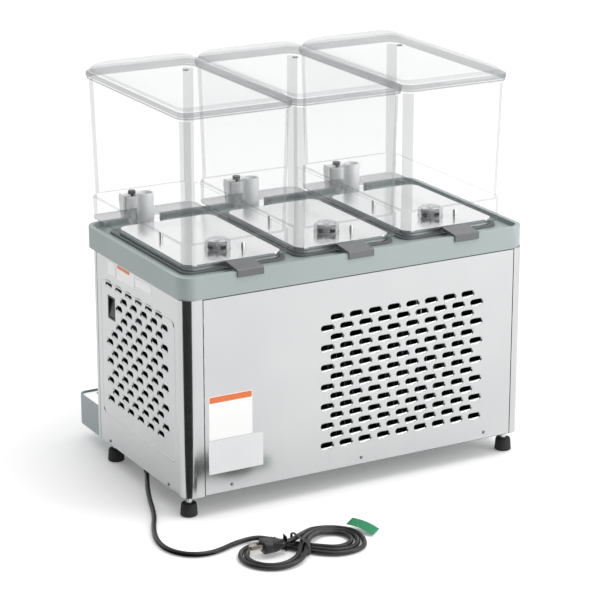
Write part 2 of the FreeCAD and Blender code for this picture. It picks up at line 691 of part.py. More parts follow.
def bowl(number):
    """Clear tapered bowl, open over the cold plate, with a sump and an outlet column in front."""
    body = new_body(f"bowl_{number}", station_x(number))
    rounded_pad(body, "bowl_foot", "ledge - bowl_foot + 1", "-foot_half", "foot_half",
                "rear - foot_front", "rear - foot_rear", "bowl_corner - 5")
    rounded_pad(body, "ledge", "band_height", "-waist_half - band_step", "waist_half + band_step",
                "rear - waist_front - band_step", "rear - waist_rear + band_step", "bowl_corner")
    low = new_sketch(body, "XY_Plane", "waist - 1")
    draw_rounded(low, "-waist_half", "waist_half", "rear - waist_front", "rear - waist_rear",
                 "bowl_corner")
    high = new_sketch(body, "XY_Plane", "flange")
    draw_rounded(high, "-top_half", "top_half", "rear - top_front", "rear - top_rear",
                 "bowl_corner")
    loft(body, "AdditiveLoft", low, high)
    rounded_pad(body, "flange", "flange_height", "-bowl_rim_half", "bowl_rim_half",
                "rear - top_front - flange_over", "rear - top_rear + flange_over",
                "bowl_corner + flange_over")
    rounded_pad(body, "sump_foot", "ledge - sump_foot + 1", "sump_x - sump_half",
                "sump_x + sump_half", "rear - waist_front", "rear - sump_rear", "6")
    floor = new_sketch(body, "XY_Plane", "ledge + bowl_wall")
    draw_rounded(floor, "-waist_half + bowl_wall", "waist_half - bowl_wall",
                 "rear - waist_front + bowl_wall", "rear - waist_rear - bowl_wall",
                 "bowl_corner - bowl_wall")
    mouth = new_sketch(body, "XY_Plane", "flange + flange_height")
    draw_rounded(mouth, "-top_half + bowl_wall", "top_half - bowl_wall",
                 "rear - top_front + bowl_wall", "rear - top_rear - bowl_wall",
                 "bowl_corner - bowl_wall")
    loft(body, "SubtractiveLoft", floor, mouth)
    rounded_pocket(body, "bowl_foot - 1", "ledge - bowl_foot + bowl_wall + 2",
                   "-plate_half - plate_gap", "plate_half + plate_gap",
                   "rear - plate_front - plate_gap", "rear - plate_rear + plate_gap",
                   "bowl_corner - bowl_wall")
    rounded_pocket(body, "sump_foot + bowl_wall", "ledge - sump_foot + 1",
                   "sump_x - sump_half + bowl_wall", "sump_x + sump_half - bowl_wall",
                   "rear - waist_front + bowl_wall", "rear - sump_rear - bowl_wall", "3")
    column = new_sketch(body, "XY_Plane", "sump_foot + bowl_wall - 1")
    draw_circle(column, "sump_x", "rear - column_back", "column_radius")
    draw_circle(column, "sump_x", "rear - column_back", "column_bore")
    pad(body, column, "column_height + 1")
    outlet = new_sketch(body, "XZ_Plane", "rear - column_back")
    draw_circle(outlet, "sump_x", "tap_foot + neck_rise", "neck_radius")
    pocket(body, outlet, "waist_front - column_back + 5", reverse=True)
    return keep(body)


def rear_hook(number):
    """Dark lug that locates the bowl's foot and hooks over the deck's rear rim."""
    body = new_body(f"rear_hook_{number}", station_x(number))
    profile = new_sketch(body, "YZ_Plane", "-hook_half")
    inner = "rear - waist_rear + band_step"
    lift = "deck_top + fit_gap"
    draw_polygon(profile, [(inner, lift), ("rear + fit_gap", lift),
                           ("rear + fit_gap", f"{lift} - hook_drop"),
                           ("rear + hook_reach", f"{lift} - hook_drop"),
                           ("rear + hook_reach", f"{lift} + hook_thick - 1"),
                           ("rear + hook_reach - 1.5", f"{lift} + hook_thick"),
                           (inner, f"{lift} + hook_thick + 4")])
    pad(body, profile, "2 * hook_half")
    return keep(body)


def lid(number):
    """Clear lid: a skirt on the bowl's flange, a lip inside the bowl and a domed top."""
    body = new_body(f"lid_{number}", station_x(number))

    def outline(base, inset):
        sketch = new_sketch(body, "XY_Plane", base)
        draw_rounded(sketch, f"-lid_half + {inset}", f"lid_half - ({inset})",
                     f"rear - lid_front + {inset}", f"rear - lid_rear - ({inset})",
                     "lid_corner")
        return sketch

    shoulder = "lid_foot + lid_skirt + lid_rise"
    crown = f"{shoulder} + crown_rise"
    pad(body, outline("lid_foot", "0"), "lid_skirt")
    loft(body, "AdditiveLoft", outline("lid_foot + lid_skirt", "2.5"), outline(shoulder, "lid_shoulder"))
    loft(body, "AdditiveLoft", outline(shoulder, "lid_shoulder"), outline(crown, "crown_inset"))
    pocket(body, outline("lid_foot", "lid_wall"), "lid_skirt - lid_wall / 2", reverse=True)
    loft(body, "SubtractiveLoft", outline("lid_foot + lid_skirt - lid_wall", "2.5 + lid_wall"),
         outline(f"{shoulder} - lid_wall", "lid_shoulder + lid_wall"))
    loft(body, "SubtractiveLoft", outline(f"{shoulder} - lid_wall", "lid_shoulder + lid_wall"),
         outline(f"{crown} - lid_wall", "crown_inset + lid_wall"))
    lip = new_sketch(body, "XY_Plane", "lid_foot - lip_drop")
    for inset in ("bowl_wall + lip_gap", "bowl_wall + lip_gap + lid_wall"):
        draw_rounded(lip, f"-top_half + {inset}", f"top_half - ({inset})",
                     f"rear - top_front + {inset}", f"rear - top_rear - ({inset})",
                     f"bowl_corner - ({inset})")
    pad(body, lip, "lip_drop + lid_skirt - 1")
    return keep(body)


def agitator(number):
    """Magnetic impeller under a vented cap on the cold plate, and its motor under the deck."""
    x = station_x(number)
    y = "rear - agitator_back"
    impeller = new_body(f"impeller_{number}", x, y, "plate_top + 1")
    disc = new_sketch(impeller, "XY_Plane")
    draw_circle(disc, "0", "0", "impeller_radius * 0.85")
    pad(impeller, disc, "2.5")
    vane = new_sketch(impeller, "XY_Plane", "2")
    draw_rectangle(vane, "2", "impeller_radius", "-1", "1")
    first = pad(impeller, vane, "impeller_height - 2")
    pattern = impeller.newObject("PartDesign::PolarPattern", f"vanes_{number}")
    pattern.Originals = [first]
    pattern.Axis = (disc, ["N_Axis"])
    pattern.Angle = 360
    pattern.Occurrences = 6
    impeller.Tip = pattern
    doc.recompute()
    hub = new_sketch(impeller, "XY_Plane")
    draw_circle(hub, "0", "0", "5")
    pad(impeller, hub, "impeller_height")
    keep(impeller)
    cap = new_body(f"impeller_cap_{number}", x, y, "plate_top")
    shell = new_sketch(cap, "XZ_Plane")
    draw_polygon(shell, [("cap_radius - cap_wall", "0"), ("cap_radius", "0"),
                         ("cap_radius", "cap_height - 4"), ("cap_radius - 4", "cap_height"),
                         ("6", "cap_height"), ("6", "cap_height - cap_wall"),
                         ("cap_radius - 4 - cap_wall / 2", "cap_height - cap_wall"),
                         ("cap_radius - cap_wall", "cap_height - 4 - cap_wall / 2")])
    revolve(cap, shell)
    port = new_sketch(cap, "XZ_Plane")
    draw_rectangle(port, "-5", "5", "3", "cap_height - 7")
    first = pocket(cap, port, "cap_radius + 2")
    ports = cap.newObject("PartDesign::PolarPattern", f"ports_{number}")
    ports.Originals = [first]
    ports.Axis = (shell, ["V_Axis"])
    ports.Angle = 360
    ports.Occurrences = 6
    cap.Tip = ports
    doc.recompute()
    keep(cap)
    keep(new_cylinder(f"drive_motor_{number}", x, y, "gutter - deck_skin - motor_height",
                      "motor_radius", "motor_height"))


def tap(number):
    """Push tap under the front of the bowl: body, sprung stem and forked lever."""
    x = f"{station_x(number)} + sump_x"
    y = "rear - tap_back"
    body = new_body(f"tap_body_{number}", x, y, "tap_foot")
    outline = new_sketch(body, "XZ_Plane")
    draw_polygon(outline, [("tap_seat", "0"), ("tap_seat + 3", "0"),
                           ("tap_radius", "14"), ("tap_radius", "tap_height"),
                           ("stem_radius + stem_gap", "tap_height"),
                           ("stem_radius + stem_gap", "tap_height - 4"),
                           ("tap_bore", "tap_height - 4"), ("tap_bore", "tap_floor"),
                           ("tap_seat", "tap_floor")])
    revolve(body, outline)
    neck = new_sketch(body, "XZ_Plane", "tap_back - waist_front + bowl_wall")
    draw_circle(neck, "0", "neck_rise", "neck_radius")
    pad(body, neck, "tap_back - waist_front + bowl_wall - tap_bore - 1")
    bore = new_sketch(body, "XZ_Plane", "tap_back - waist_front + bowl_wall + 1")
    draw_circle(bore, "0", "neck_rise", "neck_bore")
    pocket(body, bore, "tap_back - waist_front + bowl_wall", reverse=True)
    pivot = new_sketch(body, "YZ_Plane")
    draw_circle(pivot, "pivot_y", "tap_height - pivot_drop", "pivot_radius")
    pad(body, pivot, "2 * (lever_side + lever_plate + 1)", symmetric=True)
    clear = new_sketch(body, "XY_Plane", "tap_floor")
    draw_circle(clear, "0", "0", "tap_bore")
    pocket(body, clear, "tap_height - tap_floor - 4", reverse=True)
    keep(body)
    stem = new_body(f"tap_stem_{number}", x, y, "tap_foot + tap_floor")
    turned = new_sketch(stem, "XZ_Plane")
    rod_top = "tap_height - tap_floor + stem_reach"
    draw_polygon(turned, [("0", "0.05"), ("disc_radius", "0.05"), ("disc_radius", "disc_height"),
                          ("stem_radius", "disc_height"), ("stem_radius", f"{rod_top} - knob_height"),
                          ("knob_radius", f"{rod_top} - knob_height"), ("knob_radius", rod_top),
                          ("0", rod_top)])
    revolve(stem, turned)
    keep(stem)
    spring = new_body(f"tap_spring_{number}", x, y, "tap_foot + tap_floor + disc_height")
    wire = new_sketch(spring, "XZ_Plane")
    draw_circle(wire, "spring_radius", "spring_wire / 2 + 0.1", "spring_wire / 2")
    coil = spring.newObject("PartDesign::AdditiveHelix", f"coil_{number}")
    coil.Profile = wire
    coil.ReferenceAxis = (wire, ["V_Axis"])
    coil.Mode = 2
    coil.Turns = 7
    bind(coil, Height="tap_height - tap_floor - 4 - disc_height - spring_wire - 0.2")
    doc.recompute()
    keep(spring)
    tap_lever(number, x, y)


def tap_lever(number, x, y):
    """Fork round the tap: a bar under the stem's knob, two side plates and a paddle behind."""
    lever = new_body(f"tap_lever_{number}", x, y, "tap_top")
    outer = "lever_side + lever_plate"
    tine = "stem_radius + 1"
    bar = new_sketch(lever, "XY_Plane", "lever_lift")
    draw_polygon(bar, [(f"-({outer})", "-8"), (outer, "-8"), (outer, "4"), (tine, "4"),
                       (tine, f"-({tine})"), (f"-({tine})", f"-({tine})"), (f"-({tine})", "4"),
                       (f"-({outer})", "4")])
    pad(lever, bar, "lever_plate")
    for start in ("lever_side", f"-({outer})"):
        plate = new_sketch(lever, "YZ_Plane", start)
        draw_polygon(plate, [("-13", "lever_lift + lever_plate"), ("-14", "-8"), ("-6", "-40"),
                             ("10", "-62"), ("15", "-62"), ("15", "-56"), ("4", "-38"),
                             ("4", "lever_lift + lever_plate")])
        pad(lever, plate, "lever_plate")
    paddle = new_sketch(lever, "XZ_Plane", "15")
    draw_rounded(paddle, f"-({outer})", outer, "paddle_foot - tap_top", "-57", "6")
    pad(lever, paddle, "lever_plate")
    pivot = new_sketch(lever, "YZ_Plane")
    draw_circle(pivot, "pivot_y", "-pivot_drop", "pivot_radius + pivot_gap")
    pocket(lever, pivot, "4 * lever_side", symmetric=True)
    return keep(lever)


# ---------------------------------------------------------------------------------------------
# Drip tray
# ---------------------------------------------------------------------------------------------
def drip_tray():
    """Tray that hangs in front of the cabinet, with a slotted grille in its mouth."""
    front = "rear - tray_front"
    back = "rear - front_back - fit_gap"
    body = new_body("drip_tray")

    def walls(base, height, inset):
        rounded_pocket(body, base, height, f"-tray_half + {inset}", f"tray_half - ({inset})",
                       f"{front} + {inset}", f"{back} - ({inset})",
                       f"tray_corner - ({inset}) / 2")

    rounded_pad(body, "tray_foot", "tray_height", "-tray_half", "tray_half", front, back,
                "tray_corner")
    walls("grille_top - grille_seat", "grille_seat + 1", "tray_wall")
    walls("tray_foot + tray_wall", "tray_height", "tray_wall + 3")
    keep(body)
    grille = new_body("drip_grille")
    inset = "tray_wall + grille_gap"
    rounded_pad(grille, "grille_top - grille_seat + 0.05", "grille_thick",
                f"-tray_half + {inset}", f"tray_half - ({inset})", f"{front} + {inset}",
                f"{back} - ({inset})", "tray_corner - 2")
    slot = new_sketch(grille, "XY_Plane", "grille_top")
    start = "-(slot_count - 1) * slot_pitch / 2"
    draw_rounded(slot, f"{start} - slot_width / 2", f"{start} + slot_width / 2",
                 f"{front} + 14", f"{back} - 14", "slot_width / 2 - 0.01")
    first = pocket(grille, slot, "2 * grille_seat")
    row = grille.newObject("PartDesign::LinearPattern", "grille_slots")
    row.Originals = [first]
    row.Direction = (slot, ["H_Axis"])
    row.Mode = "Spacing"
    row.Occurrences = int(SIZES["slot_count"])
    bind(row, Offset="slot_pitch")
    grille.Tip = row
    doc.recompute()
    keep(grille)


# ---------------------------------------------------------------------------------------------
# Power cord, from the clamp under the base pan to the plug on the floor behind the machine
# ---------------------------------------------------------------------------------------------
CORD_ROUTE = [
    (289, 27, 29), (303, 52, 27.5), (315, 77, 24), (326, 102, 18), (335, 128, 11),
    (343, 156, 5.6), (354, 184, 4.3), (369, 212, 4.3), (382, 242, 4.3), (390, 271, 4.3),
    (391, 300, 4.3), (382, 324, 4.3), (365, 341, 4.3), (342, 348, 4.3), (318, 344, 4.3),
    (296, 335, 4.3), (274, 331, 4.8), (253, 335, 7),
]
HANK_OUTLINE = [
    (290, 341), (263, 344), (256.5, 332), (249.5, 333), (235, 349), (213, 370), (189, 366),
    (159, 352), (131, 343), (111, 352), (104, 378), (119, 408), (147, 432), (176, 446),
    (202, 438), (214, 418), (236, 430), (262, 446), (292, 455), (314, 444), (320, 416),
    (315, 381), (305, 353),
]
PLUG_SPOT = (254, 392, 7)
PLUG_TURN = 174
# length, width and height of each plug pin, then its place across and up the plug's rear face
PLUG_PINS = [(18, 1.5, 6.3, -7.1, 9), (18, 1.5, 6.3, 5.6, 9), (20, 4.8, 4.8, -2.4, 2)]
TIE_X = 206
TIE_BACK = 364
TIE_FRONT = 422
TAG_SPOT = (115, 370, 14)
TAG_TURN = 128
TAG_TILT = 14


def rounded_path(route):
    """Straight runs joined by tangent arcs, each as large as its two runs allow."""
    edges = []
    radii = []
    start = route[0]
    for before, corner, after in zip(route, route[1:], route[2:]):
        inward = (corner - before).normalize()
        outward = (after - corner).normalize()
        half_turn = inward.getAngle(outward) / 2
        reach = 0.45 * min((corner - before).Length, (after - corner).Length)
        radii.append(reach / math.tan(half_turn))
        arc_start = corner - inward * reach
        arc_end = corner + outward * reach
        toward = (outward - inward).normalize()
        middle = corner + toward * (radii[-1] / math.cos(half_turn) - radii[-1])
        edges.append(Part.LineSegment(start, arc_start).toShape())
        edges.append(Part.Arc(arc_start, middle, arc_end).toShape())
        start = arc_end
    edges.append(Part.LineSegment(start, route[-1]).toShape())
    return Part.Wire(edges), radii


def cord_tube():
    route = [FreeCAD.Vector(*point) for point in CORD_ROUTE]
    path, radii = rounded_path(route)
    radius = size("cord_diameter / 2")
    heading = route[1] - route[0]
    section = Part.Wire([Part.Circle(route[0], heading, radius).toShape()])
    shape = path.makePipeShell([section], True, False)
    wanted = math.pi * radius ** 2 * path.Length
    print("cord radii", [round(value) for value in radii], "length", round(path.Length),
          "volume ratio", round(shape.Volume / wanted, 4))
    item = doc.addObject("Part::Feature", "cord_tube")
    item.Label = "cord_tube"
    item.Shape = shape
    return keep(item)


def cord_clamp():
    """Strain relief block under the base pan that the cord leaves."""
    first = FreeCAD.Vector(*CORD_ROUTE[0])
    heading = FreeCAD.Vector(*CORD_ROUTE[1]) - first
    turn = math.degrees(math.atan2(heading.y, heading.x))
    block = doc.addObject("Part::Box", "cord_gland")
    block.Label = "cord_gland"
    bind(block, Length="clamp_length", Width="clamp_width", Height="foot_height - clamp_foot")
    flat = FreeCAD.Vector(heading.x, heading.y, 0).normalize()
    side = FreeCAD.Vector(-flat.y, flat.x, 0)
    corner = first - flat * size("clamp_length") - side * size("clamp_width / 2")
    corner.z = size("clamp_foot")
    block.Placement = FreeCAD.Placement(corner, FreeCAD.Rotation(FreeCAD.Vector(0, 0, 1), turn))
    return keep(block)


def cord_hank():
    """Outer shape of the tied coil of spare cord, one closed solid."""
    corners = [FreeCAD.Vector(x, y, 0.1) for x, y in HANK_OUTLINE]
    face = Part.Face(Part.makePolygon(corners + corners[:1]))
    item = doc.addObject("Part::Feature", "cord_hank")
    item.Label = "cord_hank"
    item.Shape = face.extrude(FreeCAD.Vector(0, 0, size("hank_height")))
    return keep(item)


def plug():
    """Moulded three-pin plug that lies inside the left loop of the coil."""
    placement = FreeCAD.Placement(FreeCAD.Vector(*PLUG_SPOT),
                                  FreeCAD.Rotation(FreeCAD.Vector(0, 0, 1), PLUG_TURN))
    body = new_body("plug_body")
    outline = new_sketch(body, "XY_Plane", "0")
    draw_polygon(outline, [("-20", "-14"), ("8", "-14"), ("22", "-7"), ("22", "7"), ("8", "14"),
                           ("-20", "14")])
    pad(body, outline, "plug_height")
    for name in ("Placement.Base.x", "Placement.Base.y", "Placement.Base.z"):
        body.setExpression(name, None)
    body.Placement = placement
    keep(body)
    pins = []
    for number, (length, width, height, across, up) in enumerate(PLUG_PINS):
        pin = doc.addObject("Part::Box", f"pin_{number}")
        bind(pin, Length=f"{length}", Width=f"{width}", Height=f"{height}")
        local = FreeCAD.Placement(FreeCAD.Vector(-20 - length, across, up), FreeCAD.Rotation())
        pin.Placement = placement * local
        pins.append(pin)
    keep(grouped("plug_prongs", pins))


def tie_and_tag():
    """Twist tie round the waist of the coil, and the plain green tag at its far end."""
    reach = TIE_FRONT - TIE_BACK
    outer = new_box("tie_outer", f"{TIE_X}", f"{TIE_BACK}", "0.05", "5", f"{reach}", "hank_height + 1")
    inner = new_box("tie_inner", f"{TIE_X - 1}", f"{TIE_BACK + 2}", "1", "7", f"{reach - 4}",
                    "hank_height - 1.5")
    band = cut("tie_band", outer, inner)
    tail = new_cylinder("tie_tail", f"{TIE_X + 2.5}", f"{TIE_BACK + 6}", "hank_height", "1.2", "14",
                        FreeCAD.Rotation(FreeCAD.Vector(1, 0.6, 0), 25))
    keep(joined("cord_tie", [band, tail]))
    tag = doc.addObject("Part::Box", "cord_tag")
    tag.Label = "cord_tag"
    bind(tag, Length="tag_length", Width="tag_width", Height="tag_thick")
    upright = FreeCAD.Rotation(FreeCAD.Vector(0, 0, 1), TAG_TURN)
    tilt = FreeCAD.Rotation(FreeCAD.Vector(0, 1, 0), TAG_TILT)
    tag.Placement = FreeCAD.Placement(FreeCAD.Vector(*TAG_SPOT), upright * tilt)
    keep(tag)


# ---------------------------------------------------------------------------------------------
# Build, test and write
# ---------------------------------------------------------------------------------------------
base_pan()
side_panels()
rear_panel()
front_panel()
top_deck()
feet()
panel_screws()
power_switch()
compressor()
condenser()
cooling_fan()
control_box()
bowl_gaskets()
for station in (1, 2, 3):
    cold_plate(station)
    bowl(station)
    rear_hook(station)
    lid(station)
    agitator(station)
    tap(station)
drip_tray()
cord_clamp()
cord_tube()
cord_hank()
plug()
tie_and_tag()
doc.recompute()

for item in doc.Objects:
    if {"Invalid", "Error"} & set(item.State):
        raise ValueError(f"{item.Label}: {item.State}")
for item in NODES:
    if item.Shape.isNull() or not item.Shape.isValid() or not item.Shape.Solids:
        raise ValueError(f"{item.Label}: no valid solid")
for item in NODES:
    item.Shape.exportStep(f"parts/{item.Label}.step")
print(len(NODES), "sub-parts written")
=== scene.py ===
import math

import bmesh
import bpy
from mathutils import Matrix, Vector


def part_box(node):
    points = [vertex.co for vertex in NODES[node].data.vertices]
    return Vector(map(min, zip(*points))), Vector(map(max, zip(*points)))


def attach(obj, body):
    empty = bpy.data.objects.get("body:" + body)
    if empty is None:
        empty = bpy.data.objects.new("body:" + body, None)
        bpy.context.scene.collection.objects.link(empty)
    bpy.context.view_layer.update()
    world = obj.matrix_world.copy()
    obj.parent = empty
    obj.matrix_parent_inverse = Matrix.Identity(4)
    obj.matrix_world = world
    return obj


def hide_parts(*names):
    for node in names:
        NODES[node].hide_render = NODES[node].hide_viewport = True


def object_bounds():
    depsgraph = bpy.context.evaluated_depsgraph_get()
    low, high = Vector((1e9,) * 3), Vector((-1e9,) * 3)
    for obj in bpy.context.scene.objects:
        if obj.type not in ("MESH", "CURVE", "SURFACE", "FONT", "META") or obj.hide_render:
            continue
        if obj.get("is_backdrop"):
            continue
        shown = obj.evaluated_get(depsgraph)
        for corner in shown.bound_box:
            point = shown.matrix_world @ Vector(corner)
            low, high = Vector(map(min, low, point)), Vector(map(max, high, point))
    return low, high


# Chilled drink dispenser with three clear bowls on a vented stainless cabinet, seen from behind
# on the switch side. Metres, +Z up, taps towards -Y. Sizes written in millimetres carry * MM.
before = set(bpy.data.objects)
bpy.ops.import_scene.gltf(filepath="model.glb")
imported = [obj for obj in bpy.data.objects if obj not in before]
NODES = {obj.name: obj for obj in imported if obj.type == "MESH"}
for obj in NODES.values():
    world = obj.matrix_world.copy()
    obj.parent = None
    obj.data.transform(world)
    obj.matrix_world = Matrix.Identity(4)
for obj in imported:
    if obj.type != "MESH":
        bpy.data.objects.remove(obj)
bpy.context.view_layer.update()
MM = 0.001
STATIONS = (1, 2, 3)

DECK_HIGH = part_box("top_deck")[1]
REAR = DECK_HIGH.y
RIGHT_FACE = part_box("right_side_panel")[1].x
REAR_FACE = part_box("rear_panel")[1].y


def back(distance):
    """Y of a place measured forward from the deck's rear face, in millimetres."""
    return REAR - distance * MM


# ---------------------------------------------------------------------------------------------
# Camera
# ---------------------------------------------------------------------------------------------
camera_data = bpy.data.cameras.new("camera")
camera_data.lens = 144.56
camera_data.sensor_width = 36
camera_data.clip_end = 60
camera = bpy.data.objects.new("camera", camera_data)
bpy.context.scene.collection.objects.link(camera)
camera.location = (1.8530, 3.3461, 1.4765)
HEADING = math.radians(-119.099)
PITCH = math.radians(17.690)
sight = Vector((math.cos(HEADING) * math.cos(PITCH), math.sin(HEADING) * math.cos(PITCH),
                -math.sin(PITCH)))
camera.rotation_euler = sight.to_track_quat("-Z", "Y").to_euler()
bpy.context.scene.camera = camera


# ---------------------------------------------------------------------------------------------
# Power cord: from the clamp under the cabinet to the floor, then a figure-of-eight hank
# ---------------------------------------------------------------------------------------------
CORD_DIAMETER = 8 * MM
FLOOR_LEVEL = 4.3
CORD_ROUTE = [
    (289, 27, 29), (303, 52, 27.5), (315, 77, 24), (326, 102, 18), (335, 128, 11),
    (343, 156, 5.6), (354, 184, 4.3), (369, 212, 4.3), (382, 242, 4.3), (390, 271, 4.3),
    (391, 300, 4.3), (382, 324, 4.3), (365, 341, 4.3), (342, 348, 4.3), (318, 344, 4.3),
    (296, 335, 4.3), (274, 331, 4.8), (253, 335, 7), (237, 347, 5.5), (224, 361, 4.3),
]
LEFT_LOBE = (262, 398)
RIGHT_LOBE = (152, 394)
CROSSING = (207, 396)
STRAND_GAP = 9.5
HANK_TURNS = 3
PLUG_END = [(186, 361, 10), (201, 375, 14.5), (214, 386, 16.5), (226, 391, 17), (236, 392, 17)]


def around(centre, radius, angle, level):
    turn = math.radians(angle)
    return (centre[0] + radius * math.cos(turn), centre[1] + radius * math.sin(turn), level)


def hank_turns():
    """Points of the tied hank: each turn goes under the crossing, round the right lobe, over the
    crossing and round the left lobe, and the next turn lies one strand further over."""
    points = []
    for turn in range(HANK_TURNS):
        right = 28.5 + STRAND_GAP * turn
        left = 53 - STRAND_GAP * turn
        lane = STRAND_GAP * (turn - 1)
        points.append((CROSSING[0] + 0.82 * lane, CROSSING[1] + 0.57 * lane, FLOOR_LEVEL))
        spread = 3.0 * turn
        for angle in range(45, 320, 27):
            lift = 0 if angle < 250 else (angle - 250) / 12
            widened = right + (spread if angle < 150 else 0)
            points.append(around(RIGHT_LOBE, widened, angle, FLOOR_LEVEL + lift))
        if turn == HANK_TURNS - 1:
            break
        points += [(CROSSING[0] - 7 + 0.8 * lane, CROSSING[1] - 10 - 0.5 * lane, 14.2),
                   (CROSSING[0] + 7 + 0.8 * lane, CROSSING[1] + 10 - 0.5 * lane, 14.2)]
        for step, angle in enumerate(range(137, -140, -23)):
            lift = max(0, 5.5 - 2.2 * step)
            points.append(around(LEFT_LOBE, left - STRAND_GAP * step / 12, angle,
                                 FLOOR_LEVEL + lift))
    return points + PLUG_END


def cord_curve(name, route, width):
    data = bpy.data.curves.new(name, "CURVE")
    data.dimensions = "3D"
    data.bevel_depth = 1
    data.bevel_resolution = 5
    data.resolution_u = 8
    data.use_fill_caps = True
    spline = data.splines.new("NURBS")
    spline.points.add(len(route) - 1)
    for point, (x, y, z) in zip(spline.points, route):
        point.co = (x * MM, y * MM, z * MM, 1)
        point.radius = width / 2
    spline.order_u = 3
    spline.use_endpoint_u = True
    made = bpy.data.objects.new(name, data)
    bpy.context.scene.collection.objects.link(made)
    return made


power_cord = cord_curve("power_cord", CORD_ROUTE + hank_turns(), CORD_DIAMETER)
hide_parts("cord_tube", "cord_hank")
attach(power_cord, "cabinet")


# ---------------------------------------------------------------------------------------------
# Materials
# ---------------------------------------------------------------------------------------------
def linear(code):
    """A colour given as sRGB hex, in linear light."""
    shares = [int(code[i:i + 2], 16) / 255 for i in (1, 3, 5)]
    return tuple(s / 12.92 if s <= 0.04045 else ((s + 0.055) / 1.055) ** 2.4 for s in shares) + (1,)


def add(tree, kind, inputs, **settings):
    """One shader node with its settings and its values or links."""
    made = tree.nodes.new("ShaderNode" + kind)
    for name, value in settings.items():
        setattr(made, name, value)
    for socket, value in inputs.items():
        if isinstance(value, bpy.types.NodeSocket):
            tree.links.new(value, made.inputs[socket])
        else:
            made.inputs[socket].default_value = value
    return made


def surface(name, light, dark, rough, grain, stretch=(1, 1, 1), bump=0.1, depth=0.1, **sockets):
    """A procedural finish: colour from light to dark, roughness over a range, and a fine relief,
    all from one grain whose size is given in millimetres."""
    made = bpy.data.materials.new(name)
    made.use_nodes = True
    tree = made.node_tree
    tree.nodes.clear()
    place = add(tree, "TexCoord", {})
    mapping = add(tree, "Mapping", {"Vector": place.outputs["Object"], "Scale": stretch})
    fine = add(tree, "TexNoise", {"Vector": mapping.outputs[0], "Scale": 1000 / grain,
                                  "Detail": 3, "Roughness": 0.6})
    broad = add(tree, "TexNoise", {"Vector": place.outputs["Object"], "Scale": 7, "Detail": 2})
    mixed = add(tree, "Math", {0: fine.outputs["Fac"], 1: broad.outputs["Fac"]},
                operation="MULTIPLY_ADD")
    mixed.inputs[2].default_value = 0.12
    ramp = add(tree, "ValToRGB", {"Fac": mixed.outputs[0]})
    ramp.color_ramp.elements[0].position = 0.2
    ramp.color_ramp.elements[1].position = 0.6
    ramp.color_ramp.elements[0].color = linear(dark)
    ramp.color_ramp.elements[1].color = linear(light)
    spread = add(tree, "MapRange", {"Value": fine.outputs["Fac"], "From Min": 0.3, "From Max": 0.7,
                                    "To Min": rough[0], "To Max": rough[1]})
    relief = add(tree, "Bump", {"Height": fine.outputs["Fac"], "Strength": bump,
                                "Distance": depth * MM})
    shader = add(tree, "BsdfPrincipled", {"Base Color": ramp.outputs[0],
                                          "Roughness": spread.outputs[0],
                                          "Normal": relief.outputs[0], **sockets})
    out = add(tree, "OutputMaterial", {"Surface": shader.outputs[0]})
    out.location = (400, 0)
    return made


# Satin stainless steel sheet, brushed upright: pale, with a long soft sheen along the grain.
stainless_sheet = surface("brushed_stainless_sheet", "#C3C4C4", "#B9BABB", (0.13, 0.19), 1.1,
                          (3, 3, 0.04), bump=0.02, depth=0.03, Metallic=1.0)
# The cold plates are polished finer; their near-white colour is painted brightness standing in for
# the bright reflections on them.
stainless_plate_painted_bright = surface("polished_stainless_plate_painted_bright", "#F8F8F8", "#ECEDED", (0.12, 0.24), 1.4,
                          (0.2, 3, 3), bump=0.04, depth=0.05, Metallic=1.0)
# Moulded ABS deck: cool grey with a fine spark-eroded grain.
deck_plastic = surface("moulded_grey_abs", "#9FAAA9", "#95A09F", (0.38, 0.5), 0.9, bump=0.12,
                       depth=0.05, IOR=1.53)
tray_plastic = surface("moulded_tray_abs", "#9AA5A8", "#8F9A9D", (0.35, 0.48), 0.9, bump=0.1,
                       depth=0.05, IOR=1.53)
# Natural rubber feet and gaskets: matt black with a dusty grain.
gasket_rubber = surface("grey_silicone_gasket", "#7C8082", "#6C7072", (0.5, 0.65), 1.6, bump=0.1,
                        depth=0.05, IOR=1.41)
black_rubber = surface("black_rubber", "#202021", "#121213", (0.6, 0.8), 1.6, bump=0.25, depth=0.1,
                       IOR=1.52)
# PVC cord sheath: black with a soft gloss.
cord_pvc = surface("black_pvc_sheath", "#121213", "#0A0A0B", (0.3, 0.42), 1.2, bump=0.08,
                   depth=0.05, IOR=1.53)
# Moulded black ABS of the switch, fan and plug.
black_plastic = surface("black_abs", "#232425", "#17181A", (0.35, 0.48), 0.8, bump=0.1,
                        depth=0.05, IOR=1.53)
# Smoke grey polycarbonate hooks, dark and glossy.
smoke_plastic = surface("smoke_polycarbonate", "#6C6F70", "#4F5253", (0.16, 0.26), 1.5, bump=0.05,
                        depth=0.05, IOR=1.58)
# White acetal taps and caps: slightly waxy gloss.
white_plastic = surface("white_acetal", "#ECEDEC", "#E0E2E1", (0.22, 0.34), 1.5, bump=0.05,
                        depth=0.05, IOR=1.48)
# Zinc-plated studs and screws.
plated_steel = surface("zinc_plated_steel", "#D2D3D4", "#B4B6B8", (0.18, 0.3), 0.8, bump=0.08,
                       depth=0.04, Metallic=1.0)
dull_zinc = surface("dull_zinc_screw_heads", "#8A8C8E", "#6C6E70", (0.3, 0.42), 0.8, bump=0.1,
                    depth=0.04, Metallic=1.0)
nickel_plate = surface("nickel_plated_brass", "#D9D6CE", "#C3BFB4", (0.14, 0.26), 0.8, bump=0.05,
                       depth=0.03, Metallic=1.0)
# Galvanised sheet inside the cabinet: grey spangle a few millimetres across.
galvanised = surface("galvanised_sheet", "#7B7F81", "#676B6D", (0.35, 0.55), 6, bump=0.1,
                     depth=0.05, Metallic=1.0)
